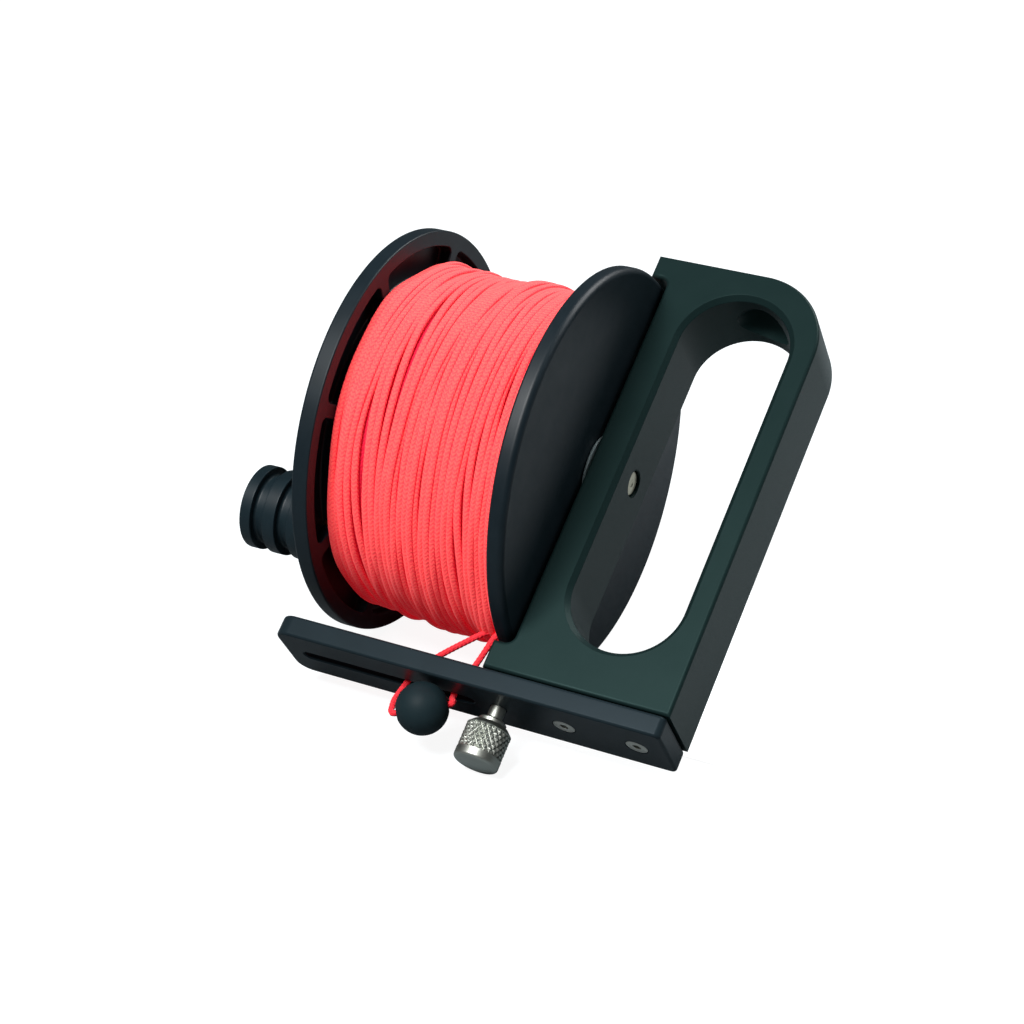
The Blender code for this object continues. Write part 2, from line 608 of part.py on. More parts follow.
def handle_frame():
    """Milled slab: notch for the near flange, finger opening, lanyard hole and the screw holes."""
    right, top, low = FRAME_WIDTH, FRAME_TOP, -FRAME_BOTTOM
    outline = [(0, low), (right, low)]
    outline += arc((right - FRAME_CORNER, top - FRAME_CORNER), FRAME_CORNER, 0, math.pi / 2, 14)
    outline += [(0, top), (0, NOTCH_HALF)]
    outline += arc((NOTCH_DEPTH - NOTCH_FILLET, NOTCH_HALF - NOTCH_FILLET), NOTCH_FILLET,
                   math.pi / 2, 0, 4)
    outline += arc((NOTCH_DEPTH - NOTCH_FILLET, NOTCH_FILLET - NOTCH_HALF), NOTCH_FILLET,
                   0, -math.pi / 2, 4)
    outline += [(0, -NOTCH_HALF)]
    item = plate("handle_frame", outline, FRAME_THICKNESS, FRAME, (0, 0, 0), (0, 0, 0), ANODISED)
    round_edges(item, FRAME_EDGE, 2)
    mouth = FRAME_THICKNESS / 2 + OVERRUN
    throat = FRAME_THICKNESS / 2 - FINGER_CHAMFER
    flared = finger_outline(-FINGER_CHAMFER - OVERRUN)
    straight = finger_outline(0)
    sections = ((flared, -mouth), (straight, -throat), (straight, throat), (flared, mouth))
    opening = stacked("finger_cutter", sections, None, (0, 0, 0), (0, 0, 0), CUT_FINISH)
    cut(item, opening, solver="MANIFOLD")
    hole_x = FRAME_WIDTH - LANYARD_FROM_GRIP
    off_centre = hole_x - (FINGER_LEFT + FINGER_RIGHT) / 2
    hole_y = FINGER_HIGH - FINGER_RADIUS + math.sqrt(FINGER_RADIUS ** 2 - off_centre ** 2)
    reach = FRAME_CORNER
    along = Vector((math.sin(LANYARD_LEAN), math.cos(LANYARD_LEAN), 0))
    start = Vector((hole_x, hole_y, 0)) - along * LANYARD_RADIUS
    centre = start + along * (reach / 2)
    turn = along.to_track_quat("Z", "Y").to_euler()
    cut(item, bore_cutter("lanyard_cutter", LANYARD_RADIUS, reach, centre, turn, 32))
    wall_middle = (NOTCH_DEPTH + FINGER_LEFT) / 2
    cut(item, bore_cutter("axle_hole", AXLE_RADIUS + GAP, AXLE_WALL + 2 * OVERRUN,
                          (wall_middle, 0, 0), ALONG_AXLE, 32))
    depth = ARM_SCREW_LENGTH - ARM_THICKNESS + GAP
    for number, x in enumerate(ARM_SCREW_PLACES):
        cut(item, bore_cutter(f"frame_screw_hole_{number + 1}", ARM_SCREW_RADIUS + GAP, 2 * depth,
                              (x, -FRAME_BOTTOM, 0), OUT_OF_ARM, 16))
    lip = FRAME_BOTTOM - NOTCH_HALF
    cut(item, bore_cutter("frame_lock_hole", LOCK_RADIUS + GAP, lip + 2 * NOTCH_CLEARANCE,
                          (LOCK_PLACE, -FRAME_BOTTOM + lip / 2, 0), OUT_OF_ARM, 20))
    return item


def guide_arm():
    """Slotted bar under the frame that leads the line past the spool."""
    half = FRAME_THICKNESS / 2
    outline = rounded_box(
        -ARM_REACH, FRAME_WIDTH - ARM_END_STEP, -half, half,
        (ARM_TIP_CORNER, ARM_END_CORNER, ARM_END_CORNER, ARM_TIP_CORNER), 6,
    )
    middle_y = (ARM_INNER + ARM_OUTER) / 2
    item = plate("guide_arm", outline, ARM_THICKNESS, FRAME, (0, middle_y, 0), OUT_OF_ARM, ANODISED)
    round_edges(item, ARM_EDGE, 2)
    slot = slot_outline(SLOT_TIP_WALL - ARM_REACH, -SLOT_FROM_FRAME, SLOT_WIDTH / 2, 8)
    cut(item, plate("slot_cutter", slot, ARM_THICKNESS + 2 * OVERRUN, None, (0, middle_y, 0),
                    OUT_OF_ARM, CUT_FINISH))
    for number, x in enumerate(ARM_SCREW_PLACES):
        sink = countersink_profile(ARM_SCREW_HEAD + GAP, ARM_SCREW_RADIUS + GAP, ARM_SCREW_LENGTH)
        sink = [(0, OVERRUN), (ARM_SCREW_HEAD + GAP, OVERRUN)] + sink[2:]
        cut(item, turned(f"arm_sink_{number + 1}", sink, [], 18, None, (x, ARM_OUTER, 0),
                         OUT_OF_ARM, CUT_FINISH))
    cut(item, bore_cutter("arm_lock_hole", LOCK_RADIUS + GAP, ARM_THICKNESS + 2 * OVERRUN,
                          (LOCK_PLACE, middle_y, 0), OUT_OF_ARM, 20))
    return item


def arm_screws():
    for number, x in enumerate(ARM_SCREW_PLACES):
        screw_with_socket(f"arm_screw_{number + 1}", ARM_SCREW_HEAD, ARM_SCREW_RADIUS,
                          ARM_SCREW_LENGTH, FRAME, (x, ARM_OUTER, 0), OUT_OF_ARM, 18)


def lock_set():
    """Thumbscrew and the nylon pad at its tip; heights run along minus Y from the arm's outside."""
    pad_tip = -PAD_TIP
    pad_seat = pad_tip + LOCK_PAD_LENGTH
    pad = [(0, pad_seat), (LOCK_PAD_RADIUS, pad_seat), (LOCK_PAD_RADIUS, pad_tip), (0, pad_tip)]
    turned("lock_pad", pad, [], 20, LOCK, (0, 0, 0), OUT_OF_ARM, NYLON)
    tip = pad_seat + GAP
    end = -LOCK_HEAD_END
    top = -LOCK_HEAD_TOP
    profile = [
        (0, end + LOCK_DOME),
        ((LOCK_HEAD_RADIUS - LOCK_END_CHAMFER) / 2, end + LOCK_DOME * 3 / 4),
        (LOCK_HEAD_RADIUS - LOCK_END_CHAMFER, end),
        (LOCK_HEAD_RADIUS - LOCK_END_CHAMFER / 4, end - LOCK_END_CHAMFER / 2),
        (LOCK_HEAD_RADIUS, end - LOCK_END_CHAMFER),
        (LOCK_HEAD_RADIUS, top + LOCK_HEAD_CHAMFER),
        (LOCK_COLLAR_RADIUS + LOCK_HEAD_CHAMFER / 2, top),
        (LOCK_COLLAR_RADIUS, top),
        (LOCK_COLLAR_RADIUS, top - LOCK_COLLAR),
        (LOCK_RADIUS, top - LOCK_COLLAR),
        (LOCK_RADIUS, tip),
        (0, tip),
    ]
    turned("lock_screw", profile, [], 32, LOCK, (0, 0, 0), OUT_OF_ARM, STEEL)


def winding_knob():
    """Grooved turning knob, bored for its shoulder screw and counterbored for the head."""
    edge = KNOB_EDGE
    outer = []
    height = 0
    sections = (
        (KNOB_RADIUS, KNOB_BASE_RING), (KNOB_GROOVE_RADIUS, KNOB_GROOVE), (KNOB_RADIUS, KNOB_RING),
        (KNOB_GROOVE_RADIUS, KNOB_GROOVE), (KNOB_RADIUS, KNOB_END_RING),
    )
    for radius, length in sections:
        if radius == KNOB_RADIUS:
            outer += [(radius - edge, height), (radius, height - edge),
                      (radius, height - length + edge), (radius - edge, height - length)]
        else:
            outer += [(radius, height), (radius, height - length)]
        height -= length
    bore = KNOB_PIN_RADIUS + KNOB_RUN
    pocket = KNOB_HEAD_RADIUS + KNOB_RUN
    floor = KNOB_HEAD_LENGTH + KNOB_HEAD_SINK + GAP - KNOB_LENGTH
    inner = [(bore, 0), (bore, floor), (pocket, floor), (pocket, -KNOB_LENGTH)]
    turned("winding_knob", outer, inner, 32, KNOB, (KNOB_BASE, 0, 0), ALONG_AXLE, PLASTIC)


def knob_hardware():
    """Shoulder screw, threaded insert and washer, all fixed to the spool."""
    place = (0, KNOB_Y, KNOB_Z)
    insert = KNOB_THREAD_RADIUS + KNOB_INSERT_WALL + GAP
    ring("knob_insert", insert, KNOB_THREAD_RADIUS + GAP, FAR_INNER - GAP, FAR_OUTER, 24, SPOOL,
         place, BRASS)
    ring("knob_washer", KNOB_WASHER_RADIUS, KNOB_PIN_RADIUS + GAP, FAR_OUTER - GAP,
         FAR_OUTER - GAP - KNOB_WASHER_THICKNESS, 28, SPOOL, place, BEARING)
    head_face = KNOB_END + KNOB_HEAD_SINK
    head_base = head_face + KNOB_HEAD_LENGTH
    shoulder = FAR_OUTER - GAP
    profile = [
        (0, FAR_INNER - GAP), (KNOB_THREAD_RADIUS, FAR_INNER - GAP), (KNOB_THREAD_RADIUS, shoulder),
        (KNOB_PIN_RADIUS, shoulder), (KNOB_PIN_RADIUS, head_base), (KNOB_HEAD_RADIUS, head_base),
        (KNOB_HEAD_RADIUS, head_face + KNOB_EDGE), (KNOB_HEAD_RADIUS - KNOB_EDGE, head_face),
        (0, head_face),
    ]
    item = turned("knob_screw", profile, [], 20, SPOOL, place, ALONG_AXLE, STEEL)
    depth = KNOB_HEAD_RADIUS * SOCKET_DEPTH_SHARE
    socket = hexagon("knob_screw_socket", 2 * KNOB_HEAD_RADIUS * SOCKET_SHARE, depth + OVERRUN, None,
                     (head_face - OVERRUN, KNOB_Y, KNOB_Z), ALONG_AXLE, CUT_FINISH)
    cut(item, socket)


def tube(name, points, radius, sides, parent, finish):
    """Round tube through the points, with flat ends."""
    curve = bpy.data.curves.new(name, "CURVE")
    curve.dimensions = "3D"
    curve.bevel_depth = radius
    curve.bevel_resolution = sides
    curve.use_fill_caps = True
    curve.render_resolution_u = 0
    spline = curve.splines.new("POLY")
    spline.points.add(len(points) - 1)
    for point, place in zip(spline.points, points):
        point.co = (*place, 1)
    item = curve_to_mesh(name, curve)
    item.data.shade_smooth()
    return place_object(item, parent, (0, 0, 0), (0, 0, 0), finish)


def winding_points():
    """Outer layer as one helix between the flanges, each end drawn out straight by a diameter."""
    radius = LOOP_RADIUS
    margin = LINE_DIAMETER / 2 + 2 * GAP
    start = NEAR_INNER - margin
    travel = SPOOL_WIDTH - 2 * margin
    total = WINDING_LOOPS * WINDING_LOOP_POINTS
    points = []
    for i in range(total + 1):
        angle = 2 * math.pi * i / WINDING_LOOP_POINTS
        place = (start - travel * i / total, radius * math.cos(angle), radius * math.sin(angle))
        points.append(Vector(place))
    step = travel / total
    lead = Vector((step, 0, -LINE_DIAMETER)).normalized() * LINE_DIAMETER
    tail = Vector((-step, 0, LINE_DIAMETER)).normalized() * LINE_DIAMETER
    return [points[0] + lead] + points + [points[-1] + tail]


def least_gap(points):
    """Smallest distance between the tube's surfaces on unlike loops, measured on the points."""
    ring_points = WINDING_LOOP_POINTS
    best = 1.0
    for i in range(0, len(points) - ring_points + 4):
        for j in range(i + ring_points - 4, min(i + ring_points + 5, len(points))):
            best = min(best, (points[i] - points[j]).length)
    return best - LINE_DIAMETER


def winding():
    """Packed line on the drum: a plain core and the outer layer's turns over it."""
    core = CORE_RADIUS
    soft = CORE_SOFT_EDGE
    high = NEAR_INNER - GAP
    low = FAR_INNER + GAP
    ring_outer = [(core - soft, high), (core, high - soft), (core, low + soft), (core - soft, low)]
    inside = DRUM_RADIUS + GAP
    turned("line_core", ring_outer, [(inside, high), (inside, low)], 48, SPOOL, (0, 0, 0),
           ALONG_AXLE, CORD)
    points = winding_points()
    print(f"least gap between turns: {least_gap(points) * 1000:.2f} mm")
    tube("line_turns", points, LINE_DIAMETER / 2, 1, SPOOL, CORD)


def smooth_route(guides, step):
    """Points every step along a Catmull-Rom curve through the guide points."""
    guides = [Vector(g) for g in guides]
    padded = [2 * guides[0] - guides[1]] + guides + [2 * guides[-1] - guides[-2]]
    fine = []
    for i in range(1, len(padded) - 2):
        a, b, c, d = padded[i - 1:i + 3]
        for k in range(40):
            t = k / 40
            fine.append(0.5 * (2 * b + (c - a) * t + (2 * a - 5 * b + 4 * c - d) * t ** 2
                               + (3 * b - a - 3 * c + d) * t ** 3))
    fine.append(guides[-1])
    total = sum((q - p).length for p, q in zip(fine, fine[1:]))
    count = max(2, round(total / step))
    route = [fine[0]]
    walked = 0.0
    for p, q in zip(fine, fine[1:]):
        length = (q - p).length
        while len(route) < count and walked + length >= total * len(route) / count:
            share = (total * len(route) / count - walked) / length
            route.append(p.lerp(q, share))
        walked += length
    route.append(fine[-1])
    return route


def line_ball():
    """Rubber ball that stops the doubled end of the line at the arm."""
    shape = bmesh.new()
    bmesh.ops.create_uvsphere(shape, u_segments=24, v_segments=14, radius=BALL_RADIUS)
    mesh = bpy.data.meshes.new("line_ball")
    shape.to_mesh(mesh)
    shape.free()
    mesh.shade_smooth()
    turn = Vector(BALL_BORE_AXIS).to_track_quat("Z", "Y").to_euler()
    item = place_object(bpy.data.objects.new("line_ball", mesh), FRAME, BALL_CENTRE, turn, RUBBER)
    length = 2 * (BALL_RADIUS + OVERRUN)
    cut(item, bore_cutter("ball_bore", BALL_BORE_RADIUS, length, BALL_CENTRE, turn, 16))


def line_loop():
    """Doubled end of the line: out of the winding, through the slot and the ball, and back."""
    centre = Vector(BALL_CENTRE)
    along = Vector(BALL_BORE_AXIS).normalized()
    guides = list(LOOP_START) + [centre + along * reach for reach in LOOP_BORE] + list(LOOP_END)
    route = smooth_route(guides, LOOP_STEP_SHARE * LINE_DIAMETER)
    tube("line_loop", route, LINE_DIAMETER / 2, 2, FRAME, CORD)


clear_scene()
PARTS = new_collection("dive_reel")
CUTTERS = new_collection("cutters")
ANODISED = material("anodised_aluminium", (0.028, 0.044, 0.046), 0.45, 0.6)
PLASTIC = material("black_acetal", (0.012, 0.016, 0.019), 0.5, 0)
STEEL = material("stainless_steel", (0.52, 0.51, 0.47), 0.3, 1)
BRASS = material("brass", (0.60, 0.44, 0.20), 0.35, 1)
BEARING = material("bearing_plastic", (0.55, 0.56, 0.52), 0.5, 0)
NYLON = material("white_nylon", (0.75, 0.74, 0.70), 0.5, 0)
CORD = material("coral_braided_line", (1.0, 0.10, 0.11), 0.8, 0)
RUBBER = material("black_rubber", (0.014, 0.020, 0.025), 0.6, 0)
CUT_FINISH = material("cutter", (0.8, 0.1, 0.8), 0.5, 0)

REST = empty("rest", None, REST_PLACE)
REST.rotation_euler = (REST_TILT, 0, 0)
FRAME = empty("frame", REST)
SPOOL = empty("spool", REST)
KNOB = empty("knob", SPOOL, (0, KNOB_Y, KNOB_Z))
LOCK = empty("lock", REST, (LOCK_PLACE, 0, 0))

handle_frame()
guide_arm()
arm_screws()
axle_set()
spool_body()
far_flange()
flange_screws()
bushes()
knob_hardware()
winding_knob()
winding()
lock_set()
line_loop()
line_ball()
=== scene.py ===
import json

import bmesh
import bpy
import numpy as np
from mathutils import Matrix, Vector


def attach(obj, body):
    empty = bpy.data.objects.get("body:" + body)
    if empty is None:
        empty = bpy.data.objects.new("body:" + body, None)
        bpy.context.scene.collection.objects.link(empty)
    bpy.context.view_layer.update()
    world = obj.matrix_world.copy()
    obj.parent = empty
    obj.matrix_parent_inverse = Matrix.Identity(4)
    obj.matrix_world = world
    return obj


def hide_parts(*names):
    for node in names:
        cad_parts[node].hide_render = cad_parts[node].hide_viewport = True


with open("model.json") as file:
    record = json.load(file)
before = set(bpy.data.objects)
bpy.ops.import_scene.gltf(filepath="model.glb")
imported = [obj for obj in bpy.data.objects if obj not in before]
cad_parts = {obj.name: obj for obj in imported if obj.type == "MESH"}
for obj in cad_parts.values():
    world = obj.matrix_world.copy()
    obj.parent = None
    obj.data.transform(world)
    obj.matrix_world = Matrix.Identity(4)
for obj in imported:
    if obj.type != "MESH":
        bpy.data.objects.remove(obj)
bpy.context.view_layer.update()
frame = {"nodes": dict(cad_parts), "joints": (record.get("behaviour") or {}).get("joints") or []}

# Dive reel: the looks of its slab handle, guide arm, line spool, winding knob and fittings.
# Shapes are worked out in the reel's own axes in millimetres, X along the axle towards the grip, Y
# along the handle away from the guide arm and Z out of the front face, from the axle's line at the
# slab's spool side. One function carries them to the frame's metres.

MM = 0.001
WELD = 0.001                    # mm within which two points are one
SHARP_ANGLE = np.radians(32)
JOINTS = {joint["name"]: joint for joint in frame["joints"]}
AXLE_POINT = np.array(JOINTS["spool_spin"]["pos_m"], float)
ACROSS = np.array(JOINTS["spool_spin"]["axis"], float)
ALONG = -np.array(JOINTS["lock_slide"]["axis"], float)
OUTWARD = np.cross(ACROSS, ALONG)
REEL_AXES = np.stack([ACROSS, ALONG, OUTWARD])
X_AXIS, Y_AXIS, Z_AXIS = np.eye(3)

# Sizes in millimetres: those of the solids, apart from the axle's recess, the thrust washer's radius
# and the pockets' inner radius, which are nearer to the real ones here, and small edges
GAP, CUT_OVERRUN = 0.3, 2.0
FLANGE_RADIUS, FLANGE_THICKNESS = 61.7, 5.2
FLANGE_EDGE, NEAR_FACE_EDGE, FAR_INNER_EDGE = 0.9, 1.9, 0.5
SPOOL_WIDTH, DRUM_RADIUS, DRUM_RELIEF_RADIUS = 57.6, 20.0, 9.5
POCKET_COUNT, POCKET_SPOKE, POCKET_CORNER = 8, 4.2, 2.2
POCKET_OUTER_RADIUS, POCKET_INNER_RADIUS, POCKET_DEPTH = 57.0, 47.4, 4.0
POCKET_MOUTH_EDGE, POCKET_FLOOR_EDGE, POCKET_PHASE = 0.35, 0.8, np.radians(24.5)
FLANGE_SCREW_COUNT, FLANGE_SCREW_CIRCLE = 4, 13.5
FLANGE_SCREW_HEAD, FLANGE_SCREW_RADIUS, FLANGE_SCREW_LENGTH = 2.9, 1.5, 14.0
AXLE_RADIUS, AXLE_RECESS, AXLE_WALL = 3.7, 0.8, 10.2
AXLE_BORE_REACH, AXLE_BORE_CHAMFER = 8.0, 0.3
CENTRE_HOLE_DEPTH, CENTRE_HOLE_FLOOR, CENTRE_HOLE_MOUTH = 0.25, 0.8, 1.3
BUSH_RADIUS, BUSH_LENGTH, BUSH_LIP_RADIUS, BUSH_LIP = 5.9, 12.0, 8.5, 1.0
BUSH_CLEARANCE, BUSH_CHAMFER, BUSH_EDGE = 0.2, 0.3, 0.2
THRUST_RADIUS, THRUST_THICKNESS, THRUST_EDGE = 12.7, 0.7, 0.15
OUTER_WASHER_RADIUS, OUTER_WASHER_THICKNESS, OUTER_WASHER_EDGE = 8.0, 1.2, 0.25
NUT_ACROSS_FLATS, NUT_HEX_HEIGHT, NUT_DOME_RADIUS, NUT_DOME_HEIGHT = 12.0, 5.5, 5.3, 4.5
NUT_THREAD_DEPTH, NUT_CHAMFER, NUT_MOUTH_CHAMFER, NUT_NECK = 6.5, 0.3, 0.4, 0.2
SLAB_HALF, SLAB_WIDTH, SLAB_CORNER, SLAB_EDGE = 12.5, 57.6, 22.5, 1.1
SLAB_TOP, SLAB_BOTTOM = 70.1, 71.2
NOTCH_DEPTH, NOTCH_HALF, NOTCH_FILLET = 5.8, 62.5, 2.6
OPENING_LEFT, OPENING_RIGHT, OPENING_LOW, OPENING_HIGH = 16.0, 50.0, -57.0, 61.0
OPENING_CHAMFER, OPENING_BLEND = 1.5, 0.25
LANYARD_RADIUS, LANYARD_FROM_GRIP, LANYARD_LEAN = 8.0, 21.4, np.radians(28)
ARM_THICKNESS, ARM_REACH, ARM_END_STEP, ARM_EDGE = 6.4, 65.9, 0.7, 0.9
ARM_TIP_CORNER, ARM_END_CORNER = 5.0, 2.0
SLOT_HALF, SLOT_TIP_WALL, SLOT_FROM_FRAME = 2.1, 6.2, 3.4
SLOT_CHAMFER, SLOT_BLEND = 0.4, 0.15
ARM_SCREW_PLACES, ARM_SCREW_RADIUS, ARM_SCREW_HEAD, ARM_SCREW_LENGTH = (25.0, 47.4), 1.9, 3.3, 17.0
SCREW_TIP_CHAMFER, SCREW_HEAD_LAND, SCREW_HEAD_EDGE, SCREW_SEAT_DEPTH = 0.3, 0.2, 0.12, 12.0
SOCKET_FLATS_SHARE, SOCKET_DEPTH_SHARE = 0.36, 0.42
SOCKET_FLOOR_SHARE, SOCKET_FLOOR_EDGE = 0.96, 0.15
SCREW_SOCKET_MOUTH, SCREW_SOCKET_LEAD, SCREW_SOCKET_CONE = 0.12, 0.1, 0.5
LOCK_PLACE, LOCK_RADIUS, LOCK_NECK, LOCK_HOLE_LENGTH = 4.4, 2.3, 3.8, 12.0
LOCK_COLLAR_RADIUS, LOCK_COLLAR, LOCK_COLLAR_EDGE = 4.2, 1.7, 0.5
LOCK_HEAD_RADIUS, LOCK_HEAD_LENGTH, LOCK_HEAD_CHAMFER = 6.7, 12.2, 1.5
LOCK_END_EDGE, LOCK_DOME_HEIGHT, LOCK_DOME_SHARE = 0.5, 0.8, 0.55
LOCK_HEAD_BLENDS = (0.3, 0.3, 1.1, 6.0)
LOCK_SIDE_START, LOCK_SIDE_END, LOCK_SIDE_CLEAR = 1.7, 1.2, 0.05    # the finely divided side of its head
LOCK_PAD_LENGTH, LOCK_TIP_CHAMFER, LOCK_NECK_EDGE = 2.5, 0.4, 0.1
KNURL_COUNT, KNURL_PITCH, KNURL_DEPTH = 24, 2.3, 0.55       # diamonds round the head, and mm along it
KNURL_START, KNURL_END, KNURL_FADE, KNURL_BLUNTNESS, KNURL_TOLERANCE = 1.5, 9.4, 0.3, 1.25, 0.01
KNOB_RADIUS, KNOB_GROOVE_RADIUS = 12.5, 10.0
KNOB_EDGE, KNOB_GROOVE_CORNER, KNOB_FACE_EDGE, KNOB_POCKET_EDGE, KNOB_BORE_EDGE = 0.3, 0.9, 0.4, 0.5, 0.2
KNOB_END_RING, KNOB_GROOVE, KNOB_RING, KNOB_BASE_RING = 3.6, 4.1, 4.1, 4.5
KNOB_SEAM = 2.0                 # mm outside its screw, where the knob's profile starts and ends
KNOB_PIN_RADIUS, KNOB_HEAD_RADIUS, KNOB_HEAD_LENGTH, KNOB_HEAD_SINK = 3.0, 4.8, 3.0, 0.6
KNOB_HEAD_ROUNDING = ((0.5, 0), (0.15, 0.12), (0, 0.5))     # height over the face, inset from the side
KNOB_SOCKET_FLATS, KNOB_SOCKET_DEPTH = 1.75, 1.9
KNOB_SOCKET_MOUTH, KNOB_SOCKET_LEAD, KNOB_SOCKET_CONE = 0.15, 0.12, 0.6
KNOB_THREAD_RADIUS, KNOB_INSERT_WALL, KNOB_INSERT_EDGE = 2.3, 1.3, 0.2
KNOB_WASHER_RADIUS, KNOB_WASHER_THICKNESS, KNOB_WASHER_EDGE = 5.8, 0.8, 0.15
LINE_DIAMETER, LOOP_STEP = 1.8, 0.18
BRAID_PITCH, BRAID_COLUMNS = 1.3, 4     # mm along the line from stitch to stitch; columns round it
BRAID_SLANT = 4.2                       # radians of a stitch that a column's slant takes up
BRAID_STITCH_HEIGHT, BRAID_COLUMN_HEIGHT = 0.05, 0.09
BALL_RADIUS, BALL_BORE_RADIUS, BALL_MOUTH = 7.7, 1.6, 0.5

NEAR_OUTER = NOTCH_DEPTH - THRUST_THICKNESS - 2 * GAP
NEAR_INNER = NEAR_OUTER - FLANGE_THICKNESS
FAR_INNER = NEAR_INNER - SPOOL_WIDTH
FAR_OUTER = FAR_INNER - FLANGE_THICKNESS
BUSH_SEAT = BUSH_RADIUS + GAP
ARM_INNER = -SLAB_BOTTOM - GAP
ARM_OUTER = ARM_INNER - ARM_THICKNESS
ARM_MIDDLE = (ARM_INNER + ARM_OUTER) / 2
KNOB_BASE = FAR_OUTER - KNOB_WASHER_THICKNESS - 2 * GAP
KNOB_LENGTH = KNOB_END_RING + 2 * KNOB_GROOVE + KNOB_RING + KNOB_BASE_RING
KNOB_END = KNOB_BASE - KNOB_LENGTH
KNOB_PLACE = np.array(JOINTS["knob_spin"]["pos_m"], float)
KNOB_CENTRE = np.array([0, *((KNOB_PLACE - AXLE_POINT) @ REEL_AXES.T / MM)[1:]])
BALL_CENTRE = np.array([-14.8, ARM_OUTER - GAP - BALL_RADIUS, 5.6])
BALL_BORE_AXIS = np.array([0.841, 0.510, -0.180])
BALL_BORE_AXIS = BALL_BORE_AXIS / np.linalg.norm(BALL_BORE_AXIS)
LOOP_START = (
    (-7.4, -53.9, 0), (-7.6, -55.8, 0), (-10.9, -58.7, 0), (-19.2, -67.2, 0), (-24.5, -74.5, 0),
    (-25.2, -78.0, 0.3), (-24.8, -84.2, 3.6), (-24.2, -86.5, 4.9), (-23.5, -88.3, 5.9),
    (-22.9, -89.5, 6.6),
)
LOOP_BORE = (-8.3, -6.8, -4.0, 0, 4.0, 6.8, 8.3)
LOOP_END = (
    (-8.2, -80.4, 2.9), (-9.4, -79.4, 1.5), (-10.0, -77.6, 0.1), (-10.2, -75.5, 0), (-7.5, -67.0, 0),
    (-5.9, -59.0, 0), (-5.0, -55.8, 0), (-5.0, -53.9, 0),
)


def to_world(points):
    """Reel coordinates in millimetres as the frame's metres: the axle's point plus each axis's share."""
    return AXLE_POINT + MM * (np.asarray(points, float) @ REEL_AXES)


# Surfaces

def grid_patch(points, wrap_rows=False, wrap_columns=False, along=None):
    """Quads over a grid of points, row by row; a wrap joins the last row or column to the first.

    The patch is (points, corners, counts, uv): uv is along (millimetres, per row) against the share
    of the way round, per column, and keeps its own seam.
    """
    rows, columns = points.shape[:2]
    i, j = np.meshgrid(np.arange(rows - (not wrap_rows)), np.arange(columns - (not wrap_columns)),
                       indexing="ij")
    quad = ((0, 0), (0, 1), (1, 1), (1, 0))
    corners = [((i + di) % rows) * columns + (j + dj) % columns for di, dj in quad]
    if along is None:
        along = np.arange(rows, dtype=float)
    along = np.append(along, 2 * along[-1] - along[-2])
    uv = [np.stack([along[i + di], (j + dj) / columns], -1) for di, dj in quad]
    count = i.size
    return (points.reshape(-1, 3), np.stack(corners, -1).reshape(-1), np.full(count, 4),
            np.stack(uv, 2).reshape(-1, 2))


def fill_patch(points):
    """One flat face inside a closed outline."""
    count = len(points)
    return np.asarray(points, float), np.arange(count), np.array([count]), np.zeros((count, 2))


def fillet(corners, radii, steps):
    """Polyline whose inner corners are arcs: each arc touches both sides at radius over the tangent of
    half the corner's angle, and its points turn evenly about the arc's centre."""
    corners = np.asarray(corners, float)
    pieces = [corners[:1]]
    for before, corner, after, radius in zip(corners, corners[1:], corners[2:], radii):
        back = (before - corner) / np.linalg.norm(before - corner)
        ahead = (after - corner) / np.linalg.norm(after - corner)
        half = np.arccos(np.clip(back @ ahead, -1, 1)) / 2
        if radius == 0 or half > np.pi / 2 - 1e-6:
            pieces.append(corner[None])
            continue
        middle = corner + (back + ahead) / np.linalg.norm(back + ahead) * radius / np.sin(half)
        first = corner + back * radius / np.tan(half) - middle
        last = corner + ahead * radius / np.tan(half) - middle
        turn = np.pi - 2 * half
        share = np.linspace(0, 1, steps + 1)[:, None]
        spread = np.sin((1 - share) * turn) * first + np.sin(share * turn) * last
        pieces.append(middle + spread / np.sin(turn))
    pieces.append(corners[-1:])
    return np.concatenate(pieces)


def arc(centre, radius, start, end, steps):
    """Points evenly along an arc in the plane, both ends included."""
    turn = np.linspace(start, end, steps + 1)
    return np.stack([centre[0] + radius * np.cos(turn), centre[1] + radius * np.sin(turn)], -1)


def hexness(turn):
    """How much further than its flats a hexagon reaches: one over the cosine of the angle off the flat."""
    return 1 / np.cos(turn % (np.pi / 3) - np.pi / 6)


def lathe(profile, origin, axis, steps, shape=None, start=0.0, closed=False):
    """Turned surface: each profile point (height, radius) goes to origin + height * axis + radius *
    (cos turn * side + sin turn * up). A shape function may change the radii by turn and height."""
    profile = np.asarray(profile, float)
    axis = np.asarray(axis, float)
    side = Y_AXIS if abs(axis @ Y_AXIS) < 0.9 else X_AXIS
    side = side - (side @ axis) * axis
    side = side / np.linalg.norm(side)
    up = np.cross(axis, side)
    turn = start + np.linspace(0, 2 * np.pi, steps, endpoint=False)
    height = profile[:, :1] + 0 * turn
    radius = profile[:, 1:2] + 0 * turn
    if shape:
        radius = shape(turn[None], height, radius)
    points = (np.asarray(origin, float) + height[..., None] * axis
              + radius[..., None] * (np.cos(turn)[:, None] * side + np.sin(turn)[:, None] * up))
    return grid_patch(points, wrap_rows=closed, wrap_columns=True, along=profile[:, 0])


